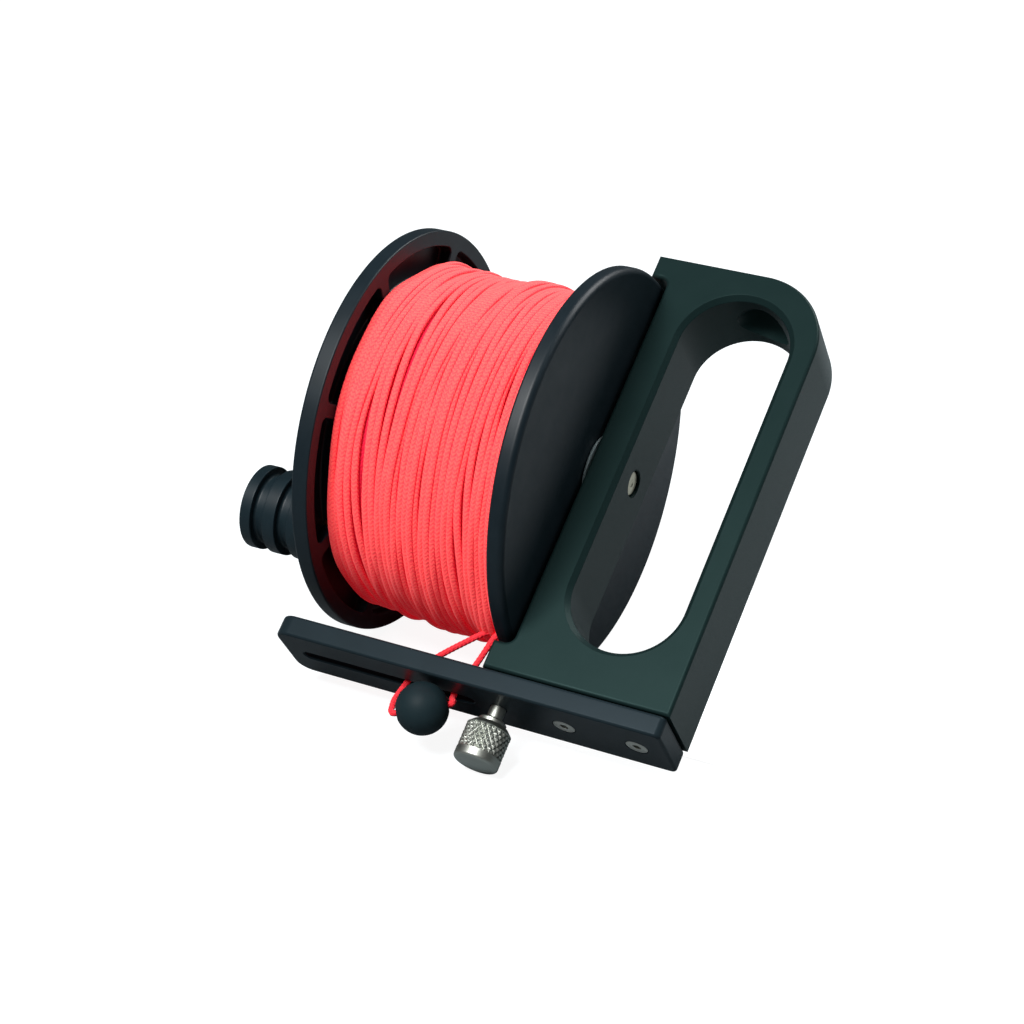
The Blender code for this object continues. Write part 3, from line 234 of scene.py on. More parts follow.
def sweep(points, radius, sides, side, flat=None, relief=None):
    """Tube: round each route point, radius * (cos turn * side + sin turn * up), square to the route.

    side is a direction, or one for each point, made square to the route, and flat the reach along it
    where that differs. relief changes the reach by the length walked and the turn.
    """
    ahead = np.gradient(points, axis=0)
    ahead = ahead / np.linalg.norm(ahead, axis=1)[:, None]
    side = np.broadcast_to(np.asarray(side, float), points.shape)
    side = side - np.sum(side * ahead, 1)[:, None] * ahead
    side = side / np.linalg.norm(side, axis=1)[:, None]
    up = np.cross(ahead, side)
    walked = np.append(0, np.cumsum(np.linalg.norm(np.diff(points, axis=0), axis=1)))
    turn = np.linspace(0, 2 * np.pi, sides, endpoint=False)
    extra = relief(walked[:, None], turn[None]) if relief else 0 * turn[None]
    wall = (points[:, None] + (((flat or radius) + extra) * np.cos(turn))[..., None] * side[:, None]
            + ((radius + extra) * np.sin(turn))[..., None] * up[:, None])
    return [grid_patch(wall, wrap_columns=True, along=walked), fill_patch(wall[0]), fill_patch(wall[-1])]


def offset_outline(outline, amount):
    """Closed outline moved outwards by an amount: each point along its two sides' summed normals."""
    side = np.roll(outline, -1, 0) - outline
    normal = np.stack([side[:, 1], -side[:, 0]], -1)
    normal = normal / np.linalg.norm(normal, axis=1)[:, None]
    before = np.roll(normal, 1, 0)
    return outline + amount * (before + normal) / (1 + np.sum(before * normal, 1))[:, None]


def edge_band(outline, profile, lift):
    """Profile of (outward offset, height) carried round a closed outline."""
    rows = [np.column_stack([offset_outline(outline, out), np.full(len(outline), height)])
            for out, height in profile]
    return grid_patch(lift(np.stack(rows)), wrap_columns=True)


def nearest(outline, point):
    """Index of the outline's point that lies nearest to a place."""
    return int(np.argmin(np.linalg.norm(outline - point, axis=1)))


def between(outline, first, last):
    """The closed outline's points from one index on to another, both included."""
    count = (last - first) % len(outline) + 1
    return outline[(first + np.arange(count)) % len(outline)]


def ring_fills(outer, inner, bridges, height, lift):
    """Two flat faces between a closed outline and a hole in it, parted along two bridges; both run
    counter-clockwise. Each bridge is (place on the outline, place on the hole)."""
    fills = []
    (outer_a, inner_a), (outer_b, inner_b) = [
        (nearest(outer, on_outer), nearest(inner, on_inner)) for on_outer, on_inner in bridges
    ]
    for o1, o2, i1, i2 in ((outer_a, outer_b, inner_a, inner_b), (outer_b, outer_a, inner_b, inner_a)):
        loop = np.concatenate([between(outer, o1, o2), between(inner, i1, i2)[::-1]])
        fills.append(fill_patch(lift(np.column_stack([loop, np.full(len(loop), height)]))))
    return fills


def milled(outline, hole, half, outer_profile, hole_profile, bridges, lift):
    """Flat plate with one opening: an edge band round each outline and two faces on either side."""
    patches = [edge_band(outline, outer_profile, lift), edge_band(hole, hole_profile, lift)]
    rim = offset_outline(outline, outer_profile[0][0])
    mouth = offset_outline(hole, hole_profile[0][0])
    for height in (half, -half):
        patches += ring_fills(rim, mouth, bridges, height, lift)
    return patches


def build_mesh(name, patches):
    """Weld patches into one mesh with its faces outwards, in the frame's metres."""
    points, corners, counts, uvs = [], [], [], []
    base = 0
    for patch_points, patch_corners, patch_counts, patch_uv in patches:
        points.append(patch_points)
        corners.append(patch_corners + base)
        counts.append(patch_counts)
        uvs.append(patch_uv)
        base += len(patch_points)
    points, corners, counts, uvs = map(np.concatenate, (points, corners, counts, uvs))
    mesh = bpy.data.meshes.new(name)
    mesh.vertices.add(len(points))
    mesh.vertices.foreach_set("co", to_world(points).astype(np.float32).ravel())
    mesh.loops.add(len(corners))
    mesh.loops.foreach_set("vertex_index", corners.astype(np.int32))
    mesh.polygons.add(len(counts))
    mesh.polygons.foreach_set("loop_start", (np.cumsum(counts) - counts).astype(np.int32))
    mesh.uv_layers.new(name="along_and_round").data.foreach_set("uv", uvs.astype(np.float32).ravel())
    mesh.update(calc_edges=True)
    shape = bmesh.new()
    shape.from_mesh(mesh)
    bmesh.ops.remove_doubles(shape, verts=shape.verts, dist=WELD * MM)
    bmesh.ops.recalc_face_normals(shape, faces=shape.faces)
    shape.to_mesh(mesh)
    shape.free()
    return mesh


def cut_out(item, cutters):
    """Take closed cutters out of a piece, and leave its mesh plain."""
    for number, patches in enumerate(cutters):
        name = f"{item.name}_cutter_{number}"
        cutter = bpy.data.objects.new(name, build_mesh(name, patches))
        bpy.context.scene.collection.objects.link(cutter)
        step = item.modifiers.new("cut", "BOOLEAN")
        step.operation = "DIFFERENCE"
        step.solver = "EXACT"
        step.object = cutter
        graph = bpy.context.evaluated_depsgraph_get()
        graph.update()
        cut = bpy.data.meshes.new_from_object(item.evaluated_get(graph))
        item.modifiers.clear()
        item.data = cut
        bpy.data.objects.remove(cutter, do_unlink=True)


def piece(name, patches, finish, body, replaced, cutters=(), even_flats=False):
    """Object of welded patches that rides on a body, stands for its CAD nodes and has its finish."""
    item = bpy.data.objects.new(name, build_mesh(name, patches))
    bpy.context.scene.collection.objects.link(item)
    cut_out(item, cutters)
    item.data.materials.clear()
    item.data.materials.append(finish)
    item.data.shade_smooth()
    item.data.set_sharp_from_angle(angle=SHARP_ANGLE)
    if even_flats:
        weighted = item.modifiers.new("even_flats", "WEIGHTED_NORMAL")
        weighted.weight = 100
        weighted.keep_sharp = True
    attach(item, body)
    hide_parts(*replaced)


def cylinder(radius, length, middle, axis, steps):
    """Closed round bar, for holes."""
    half = length / 2
    return [lathe([(-half, 0), (-half, radius), (half, radius), (half, 0)], middle, axis, steps)]


# Materials

def colour(code):
    """sRGB hex as linear values: a share over 0.04045 becomes ((share + 0.055) / 1.055) to the 2.4."""
    share = np.array([int(code[i:i + 2], 16) for i in (1, 3, 5)]) / 255
    value = np.where(share <= 0.04045, share / 12.92, ((share + 0.055) / 1.055) ** 2.4)
    return (*value, 1)


def add(tree, kind, inputs=None, out=0, **settings):
    """One node with its settings; an input is a value, or another node's output to link from. It gives
    back the node's output of that number or name."""
    item = tree.nodes.new(kind)
    for name, value in settings.items():
        setattr(item, name, value)
    for name, value in (inputs or {}).items():
        if isinstance(value, bpy.types.NodeSocket):
            tree.links.new(value, item.inputs[name])
        else:
            item.inputs[name].default_value = value
    return item.outputs[out]


def new_material(name, **values):
    """Material with a Principled shader whose even values are set on its own sockets."""
    result = bpy.data.materials.new(name)
    result.use_nodes = True
    tree = result.node_tree
    shader = tree.nodes["Principled BSDF"]
    for key, value in values.items():
        shader.inputs[key.replace("_", " ")].default_value = value
    return result, tree, shader


def dress(tree, shader, relief, tones=None, gloss=None):
    """Lead a material's patterns to its shader. relief is (height, strength, depth in millimetres),
    tones is (factor, first colour, second colour) and gloss is (factor, first roughness, second)."""
    if tones:
        inputs = {0: tones[0], 6: colour(tones[1]), 7: colour(tones[2])}
        mixed = add(tree, "ShaderNodeMix", inputs, out=2, data_type="RGBA")
        tree.links.new(mixed, shader.inputs["Base Color"])
    if gloss:
        inputs = {"Value": gloss[0], "To Min": gloss[1], "To Max": gloss[2]}
        tree.links.new(add(tree, "ShaderNodeMapRange", inputs), shader.inputs["Roughness"])
    inputs = {"Height": relief[0], "Strength": relief[1], "Distance": relief[2] * MM}
    tree.links.new(add(tree, "ShaderNodeBump", inputs), shader.inputs["Normal"])


def bead_blasted_anodised(name, deep, pale, tint, roughness):
    """Hard-anodised aluminium, bead blasted first: a close, even matt grain with a faint cloudiness
    where the dye took more or less, and a shine that the dye colours."""
    result, tree, shader = new_material(name, Specular_IOR_Level=0.075, Specular_Tint=colour(tint))
    place = add(tree, "ShaderNodeTexCoord", out="Object")
    cloud = add(tree, "ShaderNodeTexNoise", {"Vector": place, "Scale": 1 / (9 * MM), "Detail": 3})
    grain = add(tree, "ShaderNodeTexNoise", {"Vector": place, "Scale": 1 / (0.22 * MM), "Detail": 2})
    dress(tree, shader, (grain, 0.22, 0.03), (cloud, deep, pale),
          (grain, roughness - 0.06, roughness + 0.08))
    return result


def turned_rings(tree, centre, axis, ring_mm):
    """Faint rings left by a turning tool about an axis through a point: one-dimensional noise on the
    distance from the axis plus the height along it."""
    place = add(tree, "ShaderNodeTexCoord", out="Object")
    offset = add(tree, "ShaderNodeVectorMath", {0: place, 1: tuple(to_world(centre))}, operation="SUBTRACT")
    along = tuple(np.asarray(axis, float) @ REEL_AXES)
    height = add(tree, "ShaderNodeVectorMath", {0: offset, 1: along}, out="Value", operation="DOT_PRODUCT")
    across = add(tree, "ShaderNodeVectorMath", {0: offset, 1: along}, operation="CROSS_PRODUCT")
    radius = add(tree, "ShaderNodeVectorMath", {0: across}, out="Value", operation="LENGTH")
    total = add(tree, "ShaderNodeMath", {0: radius, 1: height}, operation="ADD")
    return add(tree, "ShaderNodeTexNoise", {"W": total, "Scale": 1 / (ring_mm * MM), "Detail": 2},
               noise_dimensions="1D")


def turned_acetal(name, centre, axis, deep, pale):
    """Black acetal turned on a lathe: a satin surface with fine tool rings and a cloudy sheen."""
    result, tree, shader = new_material(name, Specular_IOR_Level=0.19)
    place = add(tree, "ShaderNodeTexCoord", out="Object")
    cloud = add(tree, "ShaderNodeTexNoise", {"Vector": place, "Scale": 1 / (6 * MM), "Detail": 4})
    rings = turned_rings(tree, centre, axis, 0.35)
    dress(tree, shader, (rings, 0.12, 0.03), (cloud, deep, pale), (cloud, 0.36, 0.50))
    return result


def turned_steel(name, centre, axis, deep, pale, roughness):
    """Stainless steel turned bright: tool rings that stretch its highlights."""
    result, tree, shader = new_material(name, Metallic=1.0)
    rings = turned_rings(tree, centre, axis, 0.25)
    dress(tree, shader, (rings, 0.25, 0.02), (rings, deep, pale), (rings, roughness - 0.05, roughness + 0.1))
    return result


def plain_turned(name, code, metallic, roughness, centre=(0, 0, 0), axis=X_AXIS):
    """Bearing plastic, brass or nylon with faint tool rings."""
    result, tree, shader = new_material(name, Metallic=metallic, Base_Color=colour(code))
    rings = turned_rings(tree, centre, axis, 0.3)
    dress(tree, shader, (rings, 0.15, 0.02), gloss=(rings, roughness - 0.06, roughness + 0.08))
    return result


def moulded_rubber(name, deep, pale):
    """Matt moulded rubber: a soft bloom and the fine pebble of a blasted mould."""
    result, tree, shader = new_material(name, Specular_IOR_Level=0.09)
    place = add(tree, "ShaderNodeTexCoord", out="Object")
    bloom = add(tree, "ShaderNodeTexNoise", {"Vector": place, "Scale": 1 / (3 * MM), "Detail": 4})
    pebble = add(tree, "ShaderNodeTexVoronoi", {"Vector": place, "Scale": 1 / (0.3 * MM)}, out="Distance")
    dress(tree, shader, (pebble, 0.12, 0.03), (bloom, deep, pale), (bloom, 0.5, 0.62))
    return result


def braided_nylon(name, shaded_groove, crown, glow):
    """Fluorescent braided nylon line: columns of slanting stitches that mirror each other, faint on the
    side that faces out and dark between them on the flanks; that darkness, and the darker flanks where
    the next turn would shade them, is painted shade, and the emission is a painted red glow that shows in
    shade too.

    A stitch is the sine of the way along plus a slant across its column plus the fuzz; the flank is
    the fourth power of the sine of the way round; the lit share is stitch * depth + level, which both
    run from their value facing out to their value on the flank.
    """
    result, tree, shader = new_material(name, Roughness=0.7, Sheen_Weight=0.1, Sheen_Roughness=0.4,
                                        Specular_IOR_Level=0.12, Diffuse_Roughness=0.35)
    place = add(tree, "ShaderNodeTexCoord", out="Object")
    fuzz = add(tree, "ShaderNodeTexNoise", {"Vector": place, "Scale": 1 / (0.9 * MM), "Detail": 3})
    uv = add(tree, "ShaderNodeUVMap", uv_map="along_and_round")
    along, turned = add(tree, "ShaderNodeSeparateXYZ", {0: uv}).node.outputs[:2]
    column = add(tree, "ShaderNodeMath", {0: turned, 1: 2.0 * BRAID_COLUMNS}, operation="MULTIPLY")
    across = add(tree, "ShaderNodeMath", {0: column, 1: 1.0}, operation="PINGPONG")
    run = add(tree, "ShaderNodeMath", {0: along, 1: 2 * np.pi / BRAID_PITCH}, operation="MULTIPLY")
    slanted = add(tree, "ShaderNodeMath", {0: across, 1: BRAID_SLANT, 2: run}, operation="MULTIPLY_ADD")
    strayed = add(tree, "ShaderNodeMath", {0: fuzz, 1: 8.0, 2: slanted}, operation="MULTIPLY_ADD")
    stitch = add(tree, "ShaderNodeMath", {0: strayed}, operation="SINE")
    # Painted shade: the flanks, where the next turn would shade them, take the lit share from 0.80 facing
    # out down to 0.40
    round_turn = add(tree, "ShaderNodeMath", {0: turned, 1: 2 * np.pi}, operation="MULTIPLY")
    side = add(tree, "ShaderNodeMath", {0: round_turn}, operation="SINE")
    side = add(tree, "ShaderNodeMath", {0: side}, operation="ABSOLUTE")
    flank = add(tree, "ShaderNodeMath", {0: side, 1: 4.0}, operation="POWER")
    depth = add(tree, "ShaderNodeMapRange", {"Value": flank, "To Min": 0.24, "To Max": 0.40})
    level = add(tree, "ShaderNodeMapRange", {"Value": flank, "To Min": 0.80, "To Max": 0.40})
    lit = add(tree, "ShaderNodeMath", {0: stitch, 1: depth, 2: level}, operation="MULTIPLY_ADD")
    worn = add(tree, "ShaderNodeMapRange", {"Value": fuzz, "To Min": 0.75, "To Max": 1.25})
    lit = add(tree, "ShaderNodeMath", {0: lit, 1: worn}, operation="MULTIPLY", use_clamp=True)
    # Painted light: an even red emission glow, as strong in shade as in light
    shader.inputs["Emission Color"].default_value = colour("#ff1428")
    shader.inputs["Emission Strength"].default_value = glow
    dress(tree, shader, (stitch, 0.6, 0.08), (lit, shaded_groove, crown))
    return result


SLAB_FINISH = bead_blasted_anodised("anodised_slab", "#101e1e", "#152323", "#c8fff8", 0.38)
ARM_FINISH = bead_blasted_anodised("anodised_arm", "#161f23", "#1b252a", "#e0f4ff", 0.36)
FLANGE_FINISH = turned_acetal("turned_acetal_spool", (0, 0, 0), X_AXIS, "#0c151a", "#111c22")
KNOB_FINISH = turned_acetal("turned_acetal_knob", KNOB_CENTRE, X_AXIS, "#0e181d", "#142329")
AXLE_FINISH = turned_steel("turned_steel_axle", (0, 0, 0), X_AXIS, "#9c9784", "#b0ab99", 0.36)
LOCK_FINISH = turned_steel("turned_steel_thumbscrew", (LOCK_PLACE, 0, 0), Y_AXIS, "#8d918a", "#b4b7b0", 0.4)
KNOB_STEEL = turned_steel("turned_steel_knob_screw", KNOB_CENTRE, X_AXIS, "#a8a59c", "#c4c1b8", 0.3)
BEARING_FINISH = plain_turned("bearing_plastic", "#c4c6c0", 0.0, 0.5)
THRUST_FINISH = plain_turned("thrust_washer_plastic", "#5f6c6e", 0.0, 0.4)
BRASS_FINISH = plain_turned("turned_brass", "#c8a35c", 1.0, 0.35, KNOB_CENTRE)
NYLON_FINISH = plain_turned("nylon_pad", "#dcd9d2", 0.0, 0.5, (LOCK_PLACE, 0, 0), Y_AXIS)
RUBBER_FINISH = moulded_rubber("moulded_rubber", "#152125", "#19272b")
# Line finishes: the crown colour is mixed towards a darker groove colour as painted shade, with a painted
# red glow
LINE_FINISH = braided_nylon("braided_nylon_line", "#d81840", "#ff605b", 0.21)
# Painted shade: the inner turns are a darker copy of the line, with less glow, for the shade they lie in
SHADED_INNER_LINE_FINISH = braided_nylon("braided_nylon_inner_turns", "#b00a32", "#d81c40", 0.09)
# Painted shade: the loop is a deeper, darker copy of the same line, with less glow, for the shade it hangs
# in
SHADED_LOOP_FINISH = braided_nylon("braided_nylon_loop_painted_shade", "#b0082a", "#ee3a42", 0.09)


# Handle: slab and guide arm

def slab_lift(points):
    """Plate coordinates are the reel's X and Y, with height along Z."""
    return points


def arm_lift(points):
    """Plate coordinates are X and minus Z, with height along Y from the arm's middle."""
    return np.stack([points[..., 0], ARM_MIDDLE + points[..., 2], -points[..., 1]], -1)


def stadium(left, right, low, high, steps):
    """Upright outline with full-round ends, counter-clockwise."""
    middle, radius = (left + right) / 2, (right - left) / 2
    return np.concatenate([arc((middle, low + radius), radius, np.pi, 2 * np.pi, steps),
                           arc((middle, high - radius), radius, 0, np.pi, steps)])


def plate_profile(half, edge, steps):
    """Edge of a plate whose two corners are quarter rounds, from the front face to the back."""
    return fillet([(-2 * edge, half), (0, half), (0, -half), (-2 * edge, -half)], (edge, edge), steps)[1:-1]


def mouth_profile(half, chamfer, blend):
    """Edge of an opening with a chamfer at each mouth, its corners blended, front to back."""
    return fillet(
        [(chamfer + 2 * blend, half), (chamfer, half), (0, half - chamfer), (0, chamfer - half),
         (chamfer, -half), (chamfer + 2 * blend, -half)], (blend,) * 4, 3)[1:-1]


def slab():
    """Milled slab: a square lower end, one big round at the grip and a notch for the flange."""
    corner = (SLAB_WIDTH - SLAB_CORNER, SLAB_TOP - SLAB_CORNER)
    notch_x = NOTCH_DEPTH - NOTCH_FILLET
    outline = np.concatenate([
        [(0, -SLAB_BOTTOM), (SLAB_WIDTH, -SLAB_BOTTOM)],
        arc(corner, SLAB_CORNER, 0, np.pi / 2, 32),
        [(0, SLAB_TOP), (0, NOTCH_HALF)],
        arc((notch_x, NOTCH_HALF - NOTCH_FILLET), NOTCH_FILLET, np.pi / 2, 0, 8),
        arc((notch_x, NOTCH_FILLET - NOTCH_HALF), NOTCH_FILLET, 0, -np.pi / 2, 8),
        [(0, -NOTCH_HALF)],
    ])
    opening = stadium(OPENING_LEFT, OPENING_RIGHT, OPENING_LOW, OPENING_HIGH, 48)
    middle, radius = (OPENING_LEFT + OPENING_RIGHT) / 2, (OPENING_RIGHT - OPENING_LEFT) / 2
    bridges = [((SLAB_WIDTH, -SLAB_BOTTOM), (middle, OPENING_LOW)),
               ((corner[0], SLAB_TOP), (middle, OPENING_HIGH))]
    patches = milled(outline, opening, SLAB_HALF, plate_profile(SLAB_HALF, SLAB_EDGE, 6),
                     mouth_profile(SLAB_HALF, OPENING_CHAMFER, OPENING_BLEND), bridges, slab_lift)

    hole_x = SLAB_WIDTH - LANYARD_FROM_GRIP
    hole_y = OPENING_HIGH - radius + np.sqrt(radius ** 2 - (hole_x - middle) ** 2)
    lean = np.array([np.sin(LANYARD_LEAN), np.cos(LANYARD_LEAN), 0])
    lanyard_middle = np.array([hole_x, hole_y, 0]) + lean * (SLAB_CORNER / 2 - LANYARD_RADIUS)
    bore, face = AXLE_RADIUS + GAP, AXLE_WALL / 2
    axle_bore = [(-AXLE_BORE_REACH, 0), (-AXLE_BORE_REACH, bore), (face - AXLE_BORE_CHAMFER, bore),
                 (face + CUT_OVERRUN, bore + AXLE_BORE_CHAMFER + CUT_OVERRUN), (face + CUT_OVERRUN, 0)]
    screw_depth = ARM_SCREW_LENGTH - ARM_THICKNESS + GAP
    cutters = [
        cylinder(LANYARD_RADIUS, SLAB_CORNER, lanyard_middle, lean, 128),
        [lathe(axle_bore, ((NOTCH_DEPTH + OPENING_LEFT) / 2, 0, 0), X_AXIS, 96)],
        cylinder(LOCK_RADIUS + GAP, LOCK_HOLE_LENGTH, (LOCK_PLACE, -(NOTCH_HALF + SLAB_BOTTOM) / 2, 0),
                 Y_AXIS, 64),
    ]
    cutters += [cylinder(ARM_SCREW_RADIUS + GAP, 2 * screw_depth, (x, -SLAB_BOTTOM, 0), Y_AXIS, 48)
                for x in ARM_SCREW_PLACES]
    piece("handle_slab", patches, SLAB_FINISH, "frame", ["handle_frame"], cutters,
          even_flats=True)


def screw_seat(head_radius, shank_radius, place, outwards, steps):
    """Cutter for a countersunk screw: its shank's hole, the cone under its head and a way in."""
    head, shank = head_radius + GAP, shank_radius + GAP
    profile = [(CUT_OVERRUN, 0), (CUT_OVERRUN, head), (-SCREW_HEAD_LAND, head),
               (shank - head - SCREW_HEAD_LAND, shank), (-SCREW_SEAT_DEPTH, shank), (-SCREW_SEAT_DEPTH, 0)]
    return [lathe(profile, place, outwards, steps)]


def arm():
    """Slotted bar: big rounds at its tip, small ones at the grip's end, a long slot for the line."""
    left, right = -ARM_REACH, SLAB_WIDTH - ARM_END_STEP
    tip_x, end_x = left + ARM_TIP_CORNER, right - ARM_END_CORNER
    outline = np.concatenate([
        arc((tip_x, ARM_TIP_CORNER - SLAB_HALF), ARM_TIP_CORNER, np.pi, 1.5 * np.pi, 12),
        arc((end_x, ARM_END_CORNER - SLAB_HALF), ARM_END_CORNER, 1.5 * np.pi, 2 * np.pi, 8),
        arc((end_x, SLAB_HALF - ARM_END_CORNER), ARM_END_CORNER, 0, np.pi / 2, 8),
        arc((tip_x, SLAB_HALF - ARM_TIP_CORNER), ARM_TIP_CORNER, np.pi / 2, np.pi, 12),
    ])
    slot_left, slot_right = left + SLOT_TIP_WALL + SLOT_HALF, -SLOT_FROM_FRAME - SLOT_HALF
    slot = np.concatenate([
        arc((slot_left, 0), SLOT_HALF, np.pi / 2, 1.5 * np.pi, 24),
        arc((slot_right, 0), SLOT_HALF, -np.pi / 2, np.pi / 2, 24),
    ])
    half = ARM_THICKNESS / 2
    bridges = [((tip_x, -SLAB_HALF), (slot_left, -SLOT_HALF)), ((end_x, SLAB_HALF), (slot_right, SLOT_HALF))]
    patches = milled(outline, slot, half, plate_profile(half, ARM_EDGE, 5),
                     mouth_profile(half, SLOT_CHAMFER, SLOT_BLEND), bridges, arm_lift)
    cutters = [cylinder(LOCK_RADIUS + GAP, 3 * ARM_THICKNESS, (LOCK_PLACE, ARM_MIDDLE, 0), Y_AXIS, 64)]
    cutters += [screw_seat(ARM_SCREW_HEAD, ARM_SCREW_RADIUS, (x, ARM_OUTER, 0), -Y_AXIS, 72)
                for x in ARM_SCREW_PLACES]
    piece("slotted_arm", patches, ARM_FINISH, "frame", ["guide_arm"], cutters, even_flats=True)


# Screws with a hex socket

SCREW_STEEL = ("#a5a49c", "#c2c1b9", 0.34)


def socket_rows(face, inwards, flats, depth, mouth, lead, cone):
    """Profile of a socket from its softened mouth to the tip of its floor's cone."""
    rows = [(0, flats + mouth), (lead, flats), (depth, flats),
            (depth + SOCKET_FLOOR_EDGE, flats * SOCKET_FLOOR_SHARE), (depth + cone, 0)]
    return [(face + inwards * height, radius) for height, radius in rows]


def hex_socket(turn, height, radius):
    """The socket's rows are a profile's last five; the radii of all but the tip become a hexagon's."""
    hexed = radius.copy()
    hexed[-5:-1] = radius[-5:-1] * hexness(turn)
    return hexed


def countersunk_screw(name, head, shank, length, place, outwards, body, finish):
    """Countersunk screw: shank, cone, a softened rim, a flat face and a hexagonal socket."""
    edge = SCREW_HEAD_EDGE
    profile = [(-length, 0), (-length, shank - SCREW_TIP_CHAMFER), (SCREW_TIP_CHAMFER - length, shank),
               (shank - head - SCREW_HEAD_LAND, shank), (-SCREW_HEAD_LAND, head), (-edge, head),
               (-edge / 3, head - edge / 3), (0, head - edge)]
    profile += socket_rows(0, -1, head * SOCKET_FLATS_SHARE, head * SOCKET_DEPTH_SHARE, SCREW_SOCKET_MOUTH,
                           SCREW_SOCKET_LEAD, SCREW_SOCKET_CONE)
    patches = [lathe(profile, place, outwards, 96, hex_socket)]
    piece(name + "_bright", patches, finish, body, [name])


def flange_screw_places():
    """Middles of the flange screws' heads, evenly round the axle on the far flange's outer face."""
    turns = POCKET_PHASE + (np.arange(FLANGE_SCREW_COUNT) + 0.5) * 2 * np.pi / FLANGE_SCREW_COUNT
    return [(FAR_OUTER, FLANGE_SCREW_CIRCLE * np.cos(turn), FLANGE_SCREW_CIRCLE * np.sin(turn))
            for turn in turns]


def screws():
    """The arm's two screws and the far flange's four, each with its tool rings about its own axis."""
    for number, x in enumerate(ARM_SCREW_PLACES, 1):
        finish = turned_steel(f"turned_steel_arm_screw_{number}", (x, 0, 0), Y_AXIS, *SCREW_STEEL)
        countersunk_screw(f"arm_screw_{number}", ARM_SCREW_HEAD, ARM_SCREW_RADIUS, ARM_SCREW_LENGTH,
                          (x, ARM_OUTER, 0), -Y_AXIS, "frame", finish)
    for number, place in enumerate(flange_screw_places(), 1):
        finish = turned_steel(f"turned_steel_flange_screw_{number}", place, X_AXIS, *SCREW_STEEL)
        countersunk_screw(f"flange_screw_{number}", FLANGE_SCREW_HEAD, FLANGE_SCREW_RADIUS,
                          FLANGE_SCREW_LENGTH, place, -X_AXIS, "spool", finish)


# Spool

def rim_rows(high, low, high_edge, low_edge):
    """Flange rim from its high face to its low one, with rounded edges, as height and radius."""
    inset = FLANGE_RADIUS - 2 * max(high_edge, low_edge)
    return fillet([(high, inset), (high, FLANGE_RADIUS), (low, FLANGE_RADIUS), (low, inset)],
                  (high_edge, low_edge), 8)[1:-1]


def near_flange():
    """Near flange and drum in one, bored for its two bushes."""
    lip, lip_seat = BUSH_LIP_RADIUS + GAP, NEAR_OUTER - BUSH_LIP - GAP
    far_end = FAR_INNER + GAP
    near_seat, far_seat = NEAR_OUTER - BUSH_LENGTH - GAP, FAR_OUTER + BUSH_LENGTH + GAP
    profile = [(NEAR_OUTER, lip), *rim_rows(NEAR_OUTER, NEAR_INNER, NEAR_FACE_EDGE, FLANGE_EDGE),
               (NEAR_INNER, DRUM_RADIUS), (far_end, DRUM_RADIUS), (far_end, BUSH_SEAT),
               (far_seat, BUSH_SEAT), (far_seat, DRUM_RELIEF_RADIUS), (near_seat, DRUM_RELIEF_RADIUS),
               (near_seat, BUSH_SEAT), (lip_seat, BUSH_SEAT), (lip_seat, lip)]
    patches = [lathe(profile, (0, 0, 0), X_AXIS, 256, closed=True)]
    piece("near_flange_and_drum", patches, FLANGE_FINISH, "spool", ["spool_body"], even_flats=True)


def pocket_outline():
    """One pocket about the angle zero: two arcs about the axle joined by four corner arcs."""
    half_step = np.pi / POCKET_COUNT
    high, low = POCKET_OUTER_RADIUS - POCKET_CORNER, POCKET_INNER_RADIUS + POCKET_CORNER
    reach = POCKET_SPOKE / 2 + POCKET_CORNER
    high_half, low_half = half_step - np.arcsin(reach / high), half_step - np.arcsin(reach / low)
    rows = [arc((0, 0), POCKET_OUTER_RADIUS, -high_half, high_half, 24)]
    for half, radius, start in ((high_half, high, 0), (low_half, low, np.pi / 2)):
        centre = (radius * np.cos(half), radius * np.sin(half))
        rows.append(arc(centre, POCKET_CORNER, half + start, half + start + np.pi / 2, 6)[1:])
    rows.append(arc((0, 0), POCKET_INNER_RADIUS, low_half, -low_half, 24)[1:])
    for half, radius, start in ((low_half, low, np.pi), (high_half, high, 1.5 * np.pi)):
        centre = (radius * np.cos(half), -radius * np.sin(half))
        rows.append(arc(centre, POCKET_CORNER, start - half, start - half + np.pi / 2, 6)[1:])
    return np.concatenate(rows)[:-1]


